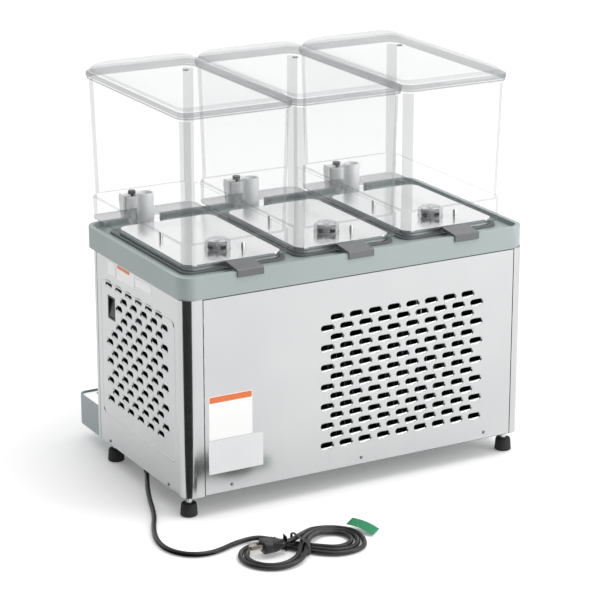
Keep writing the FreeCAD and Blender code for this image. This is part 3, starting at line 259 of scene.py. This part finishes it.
# Stove-enamelled compressor can.
black_enamel = surface("black_stoved_enamel", "#1B1C1D", "#111213", (0.25, 0.4), 2.5, bump=0.1,
                       depth=0.1)
aluminium_fin = surface("dusty_aluminium_fins", "#5F6365", "#484C4E", (0.45, 0.6), 1.2,
                        (1, 1, 0.2), bump=0.05, depth=0.05, Metallic=1.0)
# Printed vinyl labels and the waxed paper tag.
label_vinyl = surface("white_label_vinyl", "#F3F3F2", "#EAEAE9", (0.32, 0.42), 1.2, bump=0.04,
                      depth=0.03, IOR=1.5)
label_grey = surface("printed_grey_label", "#DFE0E0", "#D3D4D5", (0.32, 0.42), 1.2, bump=0.04,
                     depth=0.03, IOR=1.5)
label_orange = surface("orange_label_ink", "#E2793F", "#D66B31", (0.32, 0.42), 1.2, bump=0.04,
                       depth=0.03, IOR=1.5)
tag_green = surface("green_tag_card", "#0E8A5A", "#0A7A4E", (0.45, 0.6), 1.2, bump=0.1,
                    depth=0.05, IOR=1.5)


def clear_plastic(name, body, edge, bend=0.9, pale="#A9ADB0", painted_edge_shade="#2E3133"):
    """Clear moulding: sees through face on, and has a grey line painted where the wall turns away,
    a painted shade standing in for the dark refraction seen at grazing angles.
    body and edge are how much it covers, and bend is where the painted line starts."""
    made = bpy.data.materials.new(name)
    made.use_nodes = True
    tree = made.node_tree
    tree.nodes.clear()
    facing = add(tree, "LayerWeight", {"Blend": 0.42})
    place = add(tree, "TexCoord", {})
    ripple = add(tree, "TexNoise", {"Vector": place.outputs["Object"], "Scale": 16, "Detail": 1})
    relief = add(tree, "Bump", {"Height": ripple.outputs["Fac"], "Strength": 0.06,
                                "Distance": 1 * MM})
    cover = add(tree, "ValToRGB", {"Fac": facing.outputs["Facing"]})
    # The tone ramp is painted shade: pale face on, dark where the wall turns away.
    painted_tone = add(tree, "ValToRGB", {"Fac": facing.outputs["Facing"]})
    ends = [(cover, (body,) * 3 + (1,), (edge,) * 3 + (1,)), (painted_tone, linear(pale), linear(painted_edge_shade))]
    for ramp, first, last in ends:
        ramp.color_ramp.elements[0].position = bend - 0.12
        ramp.color_ramp.elements[0].color = first
        ramp.color_ramp.elements[1].position = bend + 0.08
        ramp.color_ramp.elements[1].color = last
    shader = add(tree, "BsdfPrincipled", {"Base Color": painted_tone.outputs[0], "Roughness": 0.04,
                                          "IOR": 1.58, "Alpha": cover.outputs[0],
                                          "Normal": relief.outputs[0]})
    add(tree, "OutputMaterial", {"Surface": shader.outputs[0]})
    return made


# Clear polycarbonate: the walls are nearly invisible, and the bends and rims carry painted grey
# shade that stands in for the dark refraction lines seen there.
clear_bowl = clear_plastic("clear_polycarbonate", 0.075, 0.8, 0.84)
clear_lid = clear_plastic("clear_polycarbonate_lid", 0.2, 0.75, 0.9, "#A4A8AA")
# Rim and bend copies: the same clear plastic with painted darker shade.
clear_rim_painted_shade = clear_plastic("clear_polycarbonate_rim_painted_shade", 0.55, 0.9, 0.85, "#62676A", "#303335")
clear_bend_painted_shade = clear_plastic("clear_polycarbonate_bend_painted_shade", 0.34, 0.9, 0.85, "#7A7F82", "#3A3D40")
clear_cap = clear_plastic("clear_acrylic_cap", 0.2, 0.8, 0.86, "#C4C8CA")


# ---------------------------------------------------------------------------------------------
# Mesh tools
# ---------------------------------------------------------------------------------------------
def piece(name, mesh_data, body, material, smooth=35, replaced=()):
    """Finishes a bmesh as a piece of the object that rides on a CAD body."""
    bmesh.ops.remove_doubles(mesh_data, verts=mesh_data.verts, dist=1e-6)
    bmesh.ops.recalc_face_normals(mesh_data, faces=mesh_data.faces)
    mesh = bpy.data.meshes.new(name)
    mesh_data.to_mesh(mesh)
    mesh_data.free()
    mesh.shade_smooth()
    mesh.set_sharp_from_angle(angle=math.radians(smooth))
    mesh.materials.append(material)
    made = bpy.data.objects.new(name, mesh)
    bpy.context.scene.collection.objects.link(made)
    if replaced:
        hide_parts(*replaced)
    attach(made, body)
    return made


def rimmed(made, material, bands):
    """Gives the faces whose middle lies in a band of heights a second finish."""
    made.data.materials.append(material)
    for face in made.data.polygons:
        if any(low <= face.center.z <= high for low, high in bands):
            face.material_index = len(made.data.materials) - 1


def bent(made, material):
    """Gives the middle of each upright corner the darker clear finish: painted shade standing in
    for the dark refraction line where the bend turns away.
    """
    made.data.materials.append(material)
    for face in made.data.polygons:
        turn = math.degrees(math.atan2(face.normal.y, face.normal.x)) % 90
        if abs(face.normal.z) < 0.1 and 20 < turn < 70 and face.material_index == 0:
            face.material_index = len(made.data.materials) - 1


def rounded_face(bm, x0, x1, y0, y1, z, radius, steps=8):
    """A level face with rounded corners."""
    corners = bmesh.ops.create_grid(bm, x_segments=1, y_segments=1, size=0.5)["verts"]
    bmesh.ops.scale(bm, vec=(x1 - x0, y1 - y0, 1), verts=corners)
    bmesh.ops.translate(bm, vec=((x0 + x1) / 2, (y0 + y1) / 2, z), verts=corners)
    before = set(bm.faces)
    face = corners[0].link_faces[0]
    before.discard(face)
    bmesh.ops.bevel(bm, geom=corners, offset=radius, offset_type="OFFSET", segments=steps,
                    profile=0.5, affect="VERTICES", material=-1)
    return next(item for item in bm.faces if item not in before)


def raise_face(bm, face, levels):
    """Extrudes a level face through levels (z, x0, x1, y0, y1) and returns the last face."""
    for step, (before, after) in enumerate(zip(levels, levels[1:])):
        made = bmesh.ops.extrude_face_region(bm, geom=[face])["geom"]
        if step:
            bmesh.ops.delete(bm, geom=[face], context="FACES_ONLY")
        face = next(item for item in made if isinstance(item, bmesh.types.BMFace))
        middle_x = (before[1] + before[2]) / 2
        middle_y = (before[3] + before[4]) / 2
        verts = list(face.verts)
        sides = [([v for v in verts if v.co.x < middle_x], (after[1] - before[1], 0, 0)),
                 ([v for v in verts if v.co.x > middle_x], (after[2] - before[2], 0, 0)),
                 ([v for v in verts if v.co.y < middle_y], (0, after[3] - before[3], 0)),
                 ([v for v in verts if v.co.y > middle_y], (0, after[4] - before[4], 0))]
        for group, shift in sides:
            bmesh.ops.translate(bm, vec=shift, verts=group)
        bmesh.ops.translate(bm, vec=(0, 0, after[0] - before[0]), verts=verts)
    return face


def tower(levels, radius, steps=8, open_top=False, open_foot=False):
    """A rounded upright form through levels (z, x0, x1, y0, y1)."""
    bm = bmesh.new()
    z, x0, x1, y0, y1 = levels[0]
    foot = rounded_face(bm, x0, x1, y0, y1, z, radius, steps)
    head = raise_face(bm, foot, levels)
    bm.faces.ensure_lookup_table()
    shut = []
    if open_top:
        shut.append(head)
    if open_foot:
        shut += [f for f in bm.faces if all(abs(v.co.z - z) < 1e-7 for v in f.verts)]
    if shut:
        bmesh.ops.delete(bm, geom=shut, context="FACES_ONLY")
    return bm


def turned(profile, centre, steps=32):
    """A closed turned form about an upright axis, from (radius, z) pairs in millimetres."""
    bm = bmesh.new()
    verts = [bm.verts.new((centre[0] + r * MM, centre[1], centre[2] + z * MM)) for r, z in profile]
    edges = [bm.edges.new(pair) for pair in zip(verts, verts[1:])]
    bmesh.ops.spin(bm, geom=verts + edges, cent=(centre[0], centre[1], 0), axis=(0, 0, 1),
                   angle=2 * math.pi, steps=steps, use_merge=True)
    bmesh.ops.remove_doubles(bm, verts=bm.verts, dist=1e-6)
    return bm


def merged(target, source):
    """Adds one bmesh to another."""
    mesh = bpy.data.meshes.new("part_of_piece")
    source.to_mesh(mesh)
    source.free()
    target.from_mesh(mesh)
    bpy.data.meshes.remove(mesh)
    return target


def thickened(made, thickness, inward=True):
    """Gives a shell its wall."""
    wall = made.modifiers.new("wall", "SOLIDIFY")
    wall.thickness = thickness
    wall.offset = -1 if inward else 1
    wall.use_even_offset = True
    return made


def softened(name, width, material):
    """A CAD node with its own finish and lightly rounded edges."""
    node = NODES[name]
    node.data.materials.clear()
    node.data.materials.append(material)
    if width:
        weld = node.modifiers.new("merge", "WELD")
        weld.merge_threshold = 1e-5
        edge = node.modifiers.new("edges", "BEVEL")
        edge.width = width * MM
        edge.segments = 2
        edge.limit_method = "ANGLE"
        edge.angle_limit = math.radians(38)
        edge.harden_normals = True
        edge.use_clamp_overlap = True
    return node


# ---------------------------------------------------------------------------------------------
# CAD nodes that keep their shape
# ---------------------------------------------------------------------------------------------
KEPT = {
    stainless_sheet: ["right_side_panel", "left_side_panel", "rear_panel", "front_panel"],
    galvanised: ["base_pan", "fan_motor", "control_box"],
    black_enamel: ["compressor"],
    aluminium_fin: ["condenser"],
    black_plastic: ["fan_shroud", "fan_blades", "switch_bezel", "switch_rocker"],
    gasket_rubber: ["bowl_gaskets"],
    # The drip grille shares the cold plates' near-white painted brightness.
    stainless_plate_painted_bright: ["drip_grille"],
    dull_zinc: ["panel_screws"],
}
for finish, names in KEPT.items():
    for name in names:
        softened(name, 0, finish)
softened("top_deck", 2.2, deck_plastic)
softened("drip_tray", 1.2, tray_plastic)
for station in STATIONS:
    softened(f"cold_plate_{station}", 1.0, stainless_plate_painted_bright)
    softened(f"rear_hook_{station}", 0.7, smoke_plastic)
    softened(f"impeller_{station}", 0, black_plastic)
    softened(f"impeller_cap_{station}", 0, clear_cap)
    softened(f"drive_motor_{station}", 0, galvanised)
    softened(f"tap_body_{station}", 0.5, white_plastic)
    softened(f"tap_stem_{station}", 0.3, black_plastic)
    softened(f"tap_spring_{station}", 0, plated_steel)
    softened(f"tap_lever_{station}", 0.6, white_plastic)

# ---------------------------------------------------------------------------------------------
# Bowls and lids
# ---------------------------------------------------------------------------------------------
BOWL_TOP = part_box("bowl_1")[1].z
BOWL_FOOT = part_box("bowl_gaskets")[1].z
LEDGE = DECK_HIGH.z + 2 * MM


def level(x, z, half, rear, front):
    """One outline of a bowl or lid: half width, and rear and front from the deck's rear face."""
    return (z, x - half * MM, x + half * MM, back(front), back(rear))


def bowl(station, x):
    band = LEDGE + 40 * MM
    levels = [level(x, BOWL_FOOT, 90, 43.5, 348), level(x, LEDGE - 1 * MM, 90, 43.5, 348),
              level(x, LEDGE, 91.5, 40, 384), level(x, LEDGE + 1.5 * MM, 93.8, 37.8, 386.3),
              level(x, LEDGE + 4 * MM, 94.5, 37, 387), level(x, band - 2 * MM, 94.5, 37, 387),
              level(x, band, 93.6, 38, 386), level(x, band + 1 * MM, 91.7, 39.8, 384.2),
              level(x, BOWL_TOP - 6 * MM, 95.4, 34, 390),
              level(x, BOWL_TOP - 3 * MM, 96, 33.5, 390.5),
              level(x, BOWL_TOP - 2.6 * MM, 98, 31.5, 392.5), level(x, BOWL_TOP, 98, 31.5, 392.5)]
    shell = tower(levels, 20 * MM, 10, open_top=True, open_foot=True)
    sump = tower([(LEDGE + (z - 17) * MM, x - 20 * MM, x + 36 * MM, back(384), back(329))
                  for z in (-3, 20)], 6 * MM, 5, open_top=True)
    made = piece(f"bowl_shell_{station}", merged(shell, sump), f"bowl_unit_{station}", clear_bowl,
                 replaced=[f"bowl_{station}"])
    # Rims, ledge, band and upright corners get the darker clear finishes: painted shade standing in
    # for the dark refraction lines there.
    rimmed(made, clear_rim_painted_shade, [(BOWL_TOP - 3 * MM, BOWL_TOP),
                             (LEDGE - 1 * MM, LEDGE + 4 * MM)])
    rimmed(made, clear_bend_painted_shade, [(band - 2 * MM, band + 1 * MM)])
    bent(made, clear_bend_painted_shade)
    column = turned([(11, 0), (14, 0), (14, 55), (13.4, 56), (11.6, 56), (11, 55), (11, 0)],
                    (x + 8 * MM, back(354), LEDGE - 17 * MM))
    piece(f"outlet_column_{station}", column, f"bowl_unit_{station}", clear_column)
    return made


def lid(station, x):
    rim_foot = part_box(f"lid_{station}")[0].z + 8 * MM
    rim = rim_foot + 9 * MM
    edge = 98.2
    rear, front = 31.9, 392.4
    steps = [(rim_foot, 1.2, 1.2, 1.2), (rim_foot + 1 * MM, 0, 0, 0), (rim - 2.5 * MM, 0, 0, 0),
             (rim - 0.6 * MM, 0.8, 0.8, 0.8), (rim, 2.6, 2.6, 2.6), (rim + 0.3 * MM, 4.2, 4.5, 4.2),
             (rim + 4.5 * MM, 5.6, 14, 5), (rim + 8 * MM, 8.5, 22, 7),
             (rim + 10.8 * MM, 14, 29, 10),
             (rim + 12.8 * MM, 21, 35, 14), (rim + 14.3 * MM, 29, 39, 19),
             (rim + 18 * MM, 45, 75, 40), (rim + 21 * MM, 62, 130, 80),
             (rim + 22.6 * MM, 80, 170, 140)]
    levels = [level(x, z, edge - side, rear + behind, front - ahead)
              for z, side, behind, ahead in steps]
    shell = tower(levels, 16 * MM, 10, open_foot=True)
    made = piece(f"lid_cover_{station}", shell, f"lid_unit_{station}", clear_lid, smooth=28,
                 replaced=[f"lid_{station}"])
    # The lid's skirt and shoulder get the darker clear finishes: painted shade standing in for the
    # dark refraction lines there.
    rimmed(made, clear_rim_painted_shade, [(rim_foot, rim - 1 * MM)])
    rimmed(made, clear_bend_painted_shade, [(rim + 0.3 * MM, rim + 6 * MM)])
    vent = turned([(0, 0), (4.5, 0), (5, 0.8), (4.2, 1.6), (0, 1.8)],
                  (x, back(213), rim + 21.6 * MM), 24)
    piece(f"lid_vent_{station}", vent, f"lid_unit_{station}", smoke_plastic)
    return made


clear_column = surface("frosted_outlet_column", "#ECEEEE", "#DDE0E1", (0.15, 0.25), 2,
                       bump=0.05, depth=0.05, IOR=1.58)
for station in STATIONS:
    low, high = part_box(f"bowl_{station}")
    middle = (low.x + high.x) / 2
    bowl(station, middle)
    lid(station, middle)

# ---------------------------------------------------------------------------------------------
# Cabinet details
# ---------------------------------------------------------------------------------------------
VENT_LENGTH = 26 * MM
VENT_HEIGHT = 12 * MM
VENT_ROW = 16.5
REAR_PITCH, REAR_ROWS, REAR_TOP = 35, 14, 295
SIDE_PITCH, SIDE_ROWS, SIDE_TOP = 37, 13, 316.7


def vent_lip(bm, across, up, face, axis):
    """The rolled-in edge of one punched vent: across and up place its middle in the panel."""
    start = bmesh.ops.create_circle(bm, segments=20, radius=VENT_HEIGHT / 2,
                                    cap_ends=False)["verts"]
    for side in (1, -1):
        half = [v for v in start if v.co.x * side > 1e-6]
        bmesh.ops.translate(bm, vec=(side * (VENT_LENGTH - VENT_HEIGHT) / 2, 0, 0), verts=half)
    edges = list({edge for vert in start for edge in vert.link_edges})
    every = list(start)
    previous = 0
    for inset, depth in ((0.4, 0.2), (1.3, 0.8), (2.2, 2.4)):
        grown = bmesh.ops.extrude_edge_only(bm, edges=edges)["geom"]
        ring = [item for item in grown if isinstance(item, bmesh.types.BMVert)]
        edges = [item for item in grown if isinstance(item, bmesh.types.BMEdge)
                 and all(v in ring for v in item.verts)]
        shrink = (VENT_HEIGHT / 2 - inset * MM) / (VENT_HEIGHT / 2 - previous * MM)
        previous = inset
        for side in (1, -1):
            half = [v for v in ring if v.co.x * side > 1e-6]
            centre = Matrix.Translation((-side * (VENT_LENGTH - VENT_HEIGHT) / 2, 0, 0))
            bmesh.ops.scale(bm, vec=(shrink, shrink, 1), space=centre, verts=half)
        flat = [v for v in ring if abs(v.co.x) <= 1e-6]
        bmesh.ops.scale(bm, vec=(1, shrink, 1), verts=flat)
        bmesh.ops.translate(bm, vec=(0, 0, -depth * MM - ring[0].co.z), verts=ring)
        every += ring
    turn = Matrix(((0, 0, 1), (1, 0, 0), (0, 1, 0))) if axis == "x" else \
        Matrix(((1, 0, 0), (0, 0, 1), (0, 1, 0)))
    bmesh.ops.transform(bm, matrix=turn.to_4x4(), verts=every)
    spot = (face, across, up) if axis == "x" else (across, face, up)
    bmesh.ops.translate(bm, vec=spot, verts=every)


def rear_vents():
    bm = bmesh.new()
    first = (41.7 - 7 * REAR_PITCH) * MM
    for row in range(REAR_ROWS):
        count, start = (8, first) if row % 2 == 0 else (9, first - REAR_PITCH / 2 * MM)
        for column in range(count):
            vent_lip(bm, start + column * REAR_PITCH * MM, (REAR_TOP - VENT_ROW * row) * MM,
                     REAR_FACE, "y")
    return piece("rear_vent_lips", bm, "cabinet", stainless_sheet, 60)


def side_vents(name, face, with_switch):
    bm = bmesh.new()
    first = REAR - (86.3 + 5 * SIDE_PITCH) * MM
    for row in range(SIDE_ROWS):
        shifted = row % 2 == 1
        start = first + (SIDE_PITCH / 2 * MM if shifted else 0)
        left_out = with_switch and row in (1, 2, 3, 4)
        for column in range(1 if left_out else 0, 6):
            vent_lip(bm, start + column * SIDE_PITCH * MM, (SIDE_TOP - VENT_ROW * row) * MM,
                     face, "x")
    return piece(name, bm, "cabinet", stainless_sheet, 60)


rear_vents()
side_vents("right_vent_lips", RIGHT_FACE, True)
left_lips = side_vents("left_vent_lips", RIGHT_FACE, False)
left_lips.data.transform(Matrix.Scale(-1, 4, (1, 0, 0)))
left_lips.data.flip_normals()


def vent_shade_sheet():
    """Black sheet held behind the left vents: painted shade that keeps the inside of the cabinet
    dark through them.
    """
    bm = bmesh.new()
    start = rounded_face(bm, back(288), back(45), 104 * MM, 330 * MM, 0, 8 * MM, 4)
    raise_face(bm, start, [(0, back(288), back(45), 104 * MM, 330 * MM),
                           (4 * MM, back(288), back(45), 104 * MM, 330 * MM)])
    turn = Matrix(((0, 0, 1), (1, 0, 0), (0, 1, 0))).to_4x4()
    bmesh.ops.transform(bm, matrix=turn, verts=bm.verts)
    bmesh.ops.translate(bm, vec=(-RIGHT_FACE + 2.2 * MM, 0, 0), verts=bm.verts)
    return piece("left_vent_shade_sheet", bm, "cabinet", vent_shade_black, 30)


# Black sheet colour: painted shade for the dark inside of the cabinet seen through the left vents.
vent_shade_black = surface("black_vent_shade_sheet", "#1A1B1B", "#0E0F0F", (0.85, 0.95), 2.2, bump=0.5,
                      depth=0.4, IOR=1.4)
vent_shade_sheet()


def bead_border(name, face, y0, y1, z0, z1, radius):
    """A pressed bead that outlines the vented field of a side panel."""
    bm = bmesh.new()
    outline = rounded_face(bm, y0, y1, z0, z1, 0, radius, 8)
    bmesh.ops.inset_region(bm, faces=[outline], thickness=1.5 * MM, depth=0.9 * MM,
                           use_even_offset=True, use_boundary=True)
    inner = max(bm.faces, key=lambda f: f.calc_area())
    bmesh.ops.inset_region(bm, faces=[inner], thickness=1.5 * MM, depth=-0.9 * MM,
                           use_even_offset=True, use_boundary=True)
    inner = max(bm.faces, key=lambda f: f.calc_area())
    bmesh.ops.delete(bm, geom=[inner], context="FACES")
    turn = Matrix(((0, 0, 1), (1, 0, 0), (0, 1, 0))).to_4x4()
    bmesh.ops.transform(bm, matrix=turn, verts=bm.verts)
    bmesh.ops.translate(bm, vec=(face, 0, 0), verts=bm.verts)
    return piece(name, bm, "cabinet", stainless_sheet, 60)


bead_border("right_panel_bead", RIGHT_FACE - 0.05 * MM, back(303), back(30), 86.5 * MM, 321.5 * MM,
            14 * MM)


def label(name, face, across, up, axis, material, thickness=0.2):
    """A thin label with small round corners, stuck to a panel."""
    bm = bmesh.new()
    start = rounded_face(bm, across[0], across[1], up[0], up[1], 0, 1.2 * MM, 3)
    raise_face(bm, start, [(0, *across, *up), (thickness * MM, *across, *up)])
    turn = Matrix(((0, 0, 1), (1, 0, 0), (0, 1, 0))) if axis == "x" else \
        Matrix(((1, 0, 0), (0, 0, 1), (0, 1, 0)))
    bmesh.ops.transform(bm, matrix=turn.to_4x4(), verts=bm.verts)
    spot = (face, 0, 0) if axis == "x" else (0, face, 0)
    bmesh.ops.translate(bm, vec=spot, verts=bm.verts)
    return piece(name, bm, "cabinet", material, 30)


def span(*ends):
    return tuple(end * MM for end in ends)


label("rear_label", REAR_FACE, span(195, 271), span(127.5, 199.5), "y", label_vinyl)
label("rear_label_header", REAR_FACE + 0.15 * MM, span(196, 270), span(188.5, 198.5), "y",
      label_orange)
label("rear_wide_label", REAR_FACE, span(176, 272), span(70.5, 126.5), "y", label_grey)
label("side_plate_label", RIGHT_FACE, (back(273), back(244)), span(334.5, 355.5), "x", label_vinyl)
label("side_label", RIGHT_FACE, (back(237), back(173)), span(334.5, 358.8), "x", label_vinyl)
label("side_label_header", RIGHT_FACE + 0.15 * MM, (back(236), back(190)), span(352.5, 358),
      "x", label_orange)
label("side_small_label", RIGHT_FACE, (back(169), back(111.5)), span(341.5, 354), "x", label_vinyl)


def feet():
    """Tapered rubber feet with a moulded ridge, on threaded studs with a hexagonal lock nut."""
    rubber_low, rubber_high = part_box("rubber_feet")
    stud_low, stud_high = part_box("foot_studs")
    height = (rubber_high.z - rubber_low.z) / MM
    tall = (stud_high.z - stud_low.z) / MM
    inset = 14 * MM
    rubbers = bmesh.new()
    studs = bmesh.new()
    for x in (rubber_low.x + inset, rubber_high.x - inset):
        for y in (rubber_low.y + inset, rubber_high.y - inset):
            merged(rubbers, turned([(0, 0), (12.6, 0), (13.8, 1), (14, 2.4), (13.2, 9), (13.5, 9.8),
                                    (13.3, 10.8), (12.6, height - 2.5), (11.6, height - 0.6),
                                    (10.4, height), (0, height)], (x, y, 0)))
            merged(studs, turned([(0, 0), (5.6, 0), (5.6, tall), (0, tall)], (x, y, stud_low.z)))
            nut = bmesh.new()
            bmesh.ops.create_cone(nut, cap_ends=True, segments=6, radius1=10 * MM,
                                  radius2=10 * MM, depth=5 * MM)
            bmesh.ops.bevel(nut, geom=nut.edges[:], offset=0.5 * MM, offset_type="OFFSET",
                            segments=2, profile=0.5, affect="EDGES", material=-1)
            bmesh.ops.translate(nut, vec=(x, y, stud_high.z - 2.8 * MM), verts=nut.verts)
            merged(studs, nut)
    piece("foot_rubbers", rubbers, "cabinet", black_rubber, 30, ["rubber_feet"])
    piece("foot_stud_bolts", studs, "cabinet", plated_steel, 30, ["foot_studs"])


feet()


# ---------------------------------------------------------------------------------------------
# Plug, strain relief, tie and tag
# ---------------------------------------------------------------------------------------------
def strain_relief():
    """Tapered sleeve with grip rings where the cord leaves the clamp."""
    start = Vector(CORD_ROUTE[0]) * MM
    heading = (Vector(CORD_ROUTE[1]) - Vector(CORD_ROUTE[0])).normalized()
    rings = []
    for ring in range(6):
        at = 5 * ring
        wide = 7.6 - 0.42 * ring
        rings += [(wide, at), (wide, at + 3), (wide - 1, at + 3.6), (wide - 1, at + 4.8)]
    profile = [(4.05, 0)] + rings + [(4.9, 30.5), (4.05, 31), (4.05, 0)]
    bm = turned(profile, (0, 0, 0), 24)
    turn = heading.to_track_quat("Z", "Y").to_matrix().to_4x4()
    bmesh.ops.transform(bm, matrix=Matrix.Translation(start) @ turn, verts=bm.verts)
    return piece("cord_strain_relief", bm, "cabinet", black_plastic, 30)


def plug():
    """Moulded plug body with finger grips, a tapered tail and three pins."""
    low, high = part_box("plug_body")
    centre = (low + high) / 2
    turn = Matrix.Rotation(math.radians(174), 4, "Z")
    bm = bmesh.new()
    wide, thick = 13.6 * MM, 9.6 * MM
    start = rounded_face(bm, -wide, wide, -thick, thick, 0, 5.5 * MM, 6)
    shape = [(0, 1.0), (1.5, 1.04), (12, 1.0), (14, 0.93), (16, 0.98), (18, 0.9), (20, 0.95),
             (22, 0.86), (24, 0.9), (26, 0.8), (30, 0.62), (34, 0.55), (38, 0.52)]
    levels = [(along * MM, -wide * share, wide * share, -thick * min(1, share + 0.04),
               thick * min(1, share + 0.04)) for along, share in shape]
    raise_face(bm, start, levels)
    bmesh.ops.bevel(bm, geom=[e for e in bm.edges if e.calc_face_angle(0) > 1.2], offset=0.8 * MM,
                    offset_type="OFFSET", segments=2, profile=0.5, affect="EDGES", material=-1)
    lay = Matrix.Rotation(math.radians(90), 4, "Y") @ Matrix.Rotation(math.radians(90), 4, "Z")
    place = Matrix.Translation(centre) @ turn @ Matrix.Translation((-20 * MM, 0, 0)) @ lay
    bmesh.ops.transform(bm, matrix=place, verts=bm.verts)
    piece("plug_moulding", bm, "cabinet", black_plastic, 30, ["plug_body"])
    softened("plug_prongs", 0, nickel_plate)


def tie():
    """Twist tie round the crossing: an upright band with a rounded outline."""
    low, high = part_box("cord_tie")
    band = bmesh.new()
    centre = ((low.x + high.x) / 2, (low.y + high.y) / 2)
    half = 29
    made = rounded_face(band, -half * MM, half * MM, 0.2 * MM, 21 * MM, 0, 7 * MM, 6)
    bmesh.ops.inset_region(band, faces=[made], thickness=1.1 * MM, use_even_offset=True,
                           use_boundary=True)
    inner = max(band.faces, key=lambda f: f.calc_area())
    bmesh.ops.delete(band, geom=[inner], context="FACES")
    sides = bmesh.ops.extrude_face_region(band, geom=band.faces[:])["geom"]
    bmesh.ops.translate(band, vec=(0, 0, 4 * MM),
                        verts=[v for v in sides if isinstance(v, bmesh.types.BMVert)])
    turn = Matrix(((0, 0, 1), (1, 0, 0), (0, 1, 0))).to_4x4()
    spot = Matrix.Translation((centre[0] - 1 * MM, CROSSING[1] * MM, 0))
    bmesh.ops.transform(band, matrix=spot @ turn, verts=band.verts)
    piece("cord_tie_band", band, "cabinet", black_plastic, 30, ["cord_tie"])


def tag():
    """Plain green card tag, slightly curled, looped on the hank's far end."""
    bm = bmesh.new()
    grid = bmesh.ops.create_grid(bm, x_segments=12, y_segments=6, size=0.5)["verts"]
    bmesh.ops.scale(bm, vec=(46 * MM, 27 * MM, 1), verts=grid)
    bmesh.ops.translate(bm, vec=(23 * MM, 13.5 * MM, 0), verts=grid)
    for vert in grid:
        share = vert.co.x / (46 * MM)
        bmesh.ops.translate(bm, vec=(0, 0, 3.0 * MM * math.sin(math.pi * share)), verts=[vert])
    turn = Matrix.Rotation(math.radians(128), 4, "Z") @ Matrix.Rotation(math.radians(14), 4, "Y")
    place = Matrix.Translation(Vector((115, 370, 14)) * MM) @ turn
    bmesh.ops.transform(bm, matrix=place, verts=bm.verts)
    made = piece("green_tag", bm, "cabinet", tag_green, 60, ["cord_tag"])
    thickened(made, 0.5 * MM)


strain_relief()
softened("cord_gland", 1.0, black_plastic)
plug()
tie()
tag()
power_cord.data.materials.append(cord_pvc)


# ---------------------------------------------------------------------------------------------
# Floor and studio light
# ---------------------------------------------------------------------------------------------
floor_mesh = bmesh.new()
bmesh.ops.create_grid(floor_mesh, x_segments=2, y_segments=2, size=9)
floor_data = bpy.data.meshes.new("floor")
floor_mesh.to_mesh(floor_data)
floor_mesh.free()
floor = bpy.data.objects.new("floor", floor_data)
bpy.context.scene.collection.objects.link(floor)
floor.location.z = -0.0005
floor_paint = surface("white_studio_floor", "#FAFAFA", "#F8F8F8", (0.7, 0.8), 8, bump=0.0,
                      **{"Emission Color": (1, 1, 1, 1), "Emission Strength": 0.16})
floor_data.materials.append(floor_paint)
floor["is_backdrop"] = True



def flag(name, corners):
    """A dark card that only shows in reflections."""
    bm = bmesh.new()
    bm.faces.new([bm.verts.new(corner) for corner in corners])
    data = bpy.data.meshes.new(name)
    bm.to_mesh(data)
    bm.free()
    card = bpy.data.objects.new(name, data)
    bpy.context.scene.collection.objects.link(card)
    data.materials.append(flag_cloth)
    card.visible_camera = False
    card.visible_diffuse = False
    card.visible_shadow = False
    card.visible_transmission = False
    card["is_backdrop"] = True


flag_cloth = surface("black_flag_cloth", "#151616", "#101111", (0.8, 0.9), 3, bump=0.0)
flag("floor_flag", [(0.33, 0.23, 0.001), (2.4, 0.23, 0.001), (2.4, 2.4, 0.001),
                    (0.33, 2.4, 0.001)])

world = bpy.data.worlds.new("studio")
bpy.context.scene.world = world
world.use_nodes = True
sky = world.node_tree
sky.nodes.clear()
direction = add(sky, "TexCoord", {})
toward = add(sky, "VectorMath", {0: direction.outputs["Generated"], 1: (0.93, 0.32, 0.16)},
             operation="DOT_PRODUCT")
shade = add(sky, "ValToRGB", {"Fac": toward.outputs["Value"]})
shade.color_ramp.elements[0].position = 0.5
shade.color_ramp.elements[0].color = (1, 1, 1, 1)
shade.color_ramp.elements[1].position = 0.82
shade.color_ramp.elements[1].color = (0.06, 0.06, 0.065, 1)
glow = add(sky, "Background", {"Color": shade.outputs[0], "Strength": 1.08})
add(sky, "OutputWorld", {"Surface": glow.outputs[0]})


def soft_light(name, spot, aim, wide, power):
    data = bpy.data.lights.new(name, "AREA")
    data.shape = "SQUARE"
    data.size = wide
    data.energy = power
    made = bpy.data.objects.new(name, data)
    bpy.context.scene.collection.objects.link(made)
    made.location = spot
    made.rotation_euler = (Vector(aim) - Vector(spot)).to_track_quat("-Z", "Y").to_euler()


soft_light("top_softbox", (-0.6, 0.8, 2.6), (0, 0, 0.3), 1.8, 26)
soft_light("rear_softbox", (-2.2, 2.4, 1.3), (0, 0, 0.3), 1.4, 22)

bpy.context.scene.view_settings.view_transform = "Standard"

low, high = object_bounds()
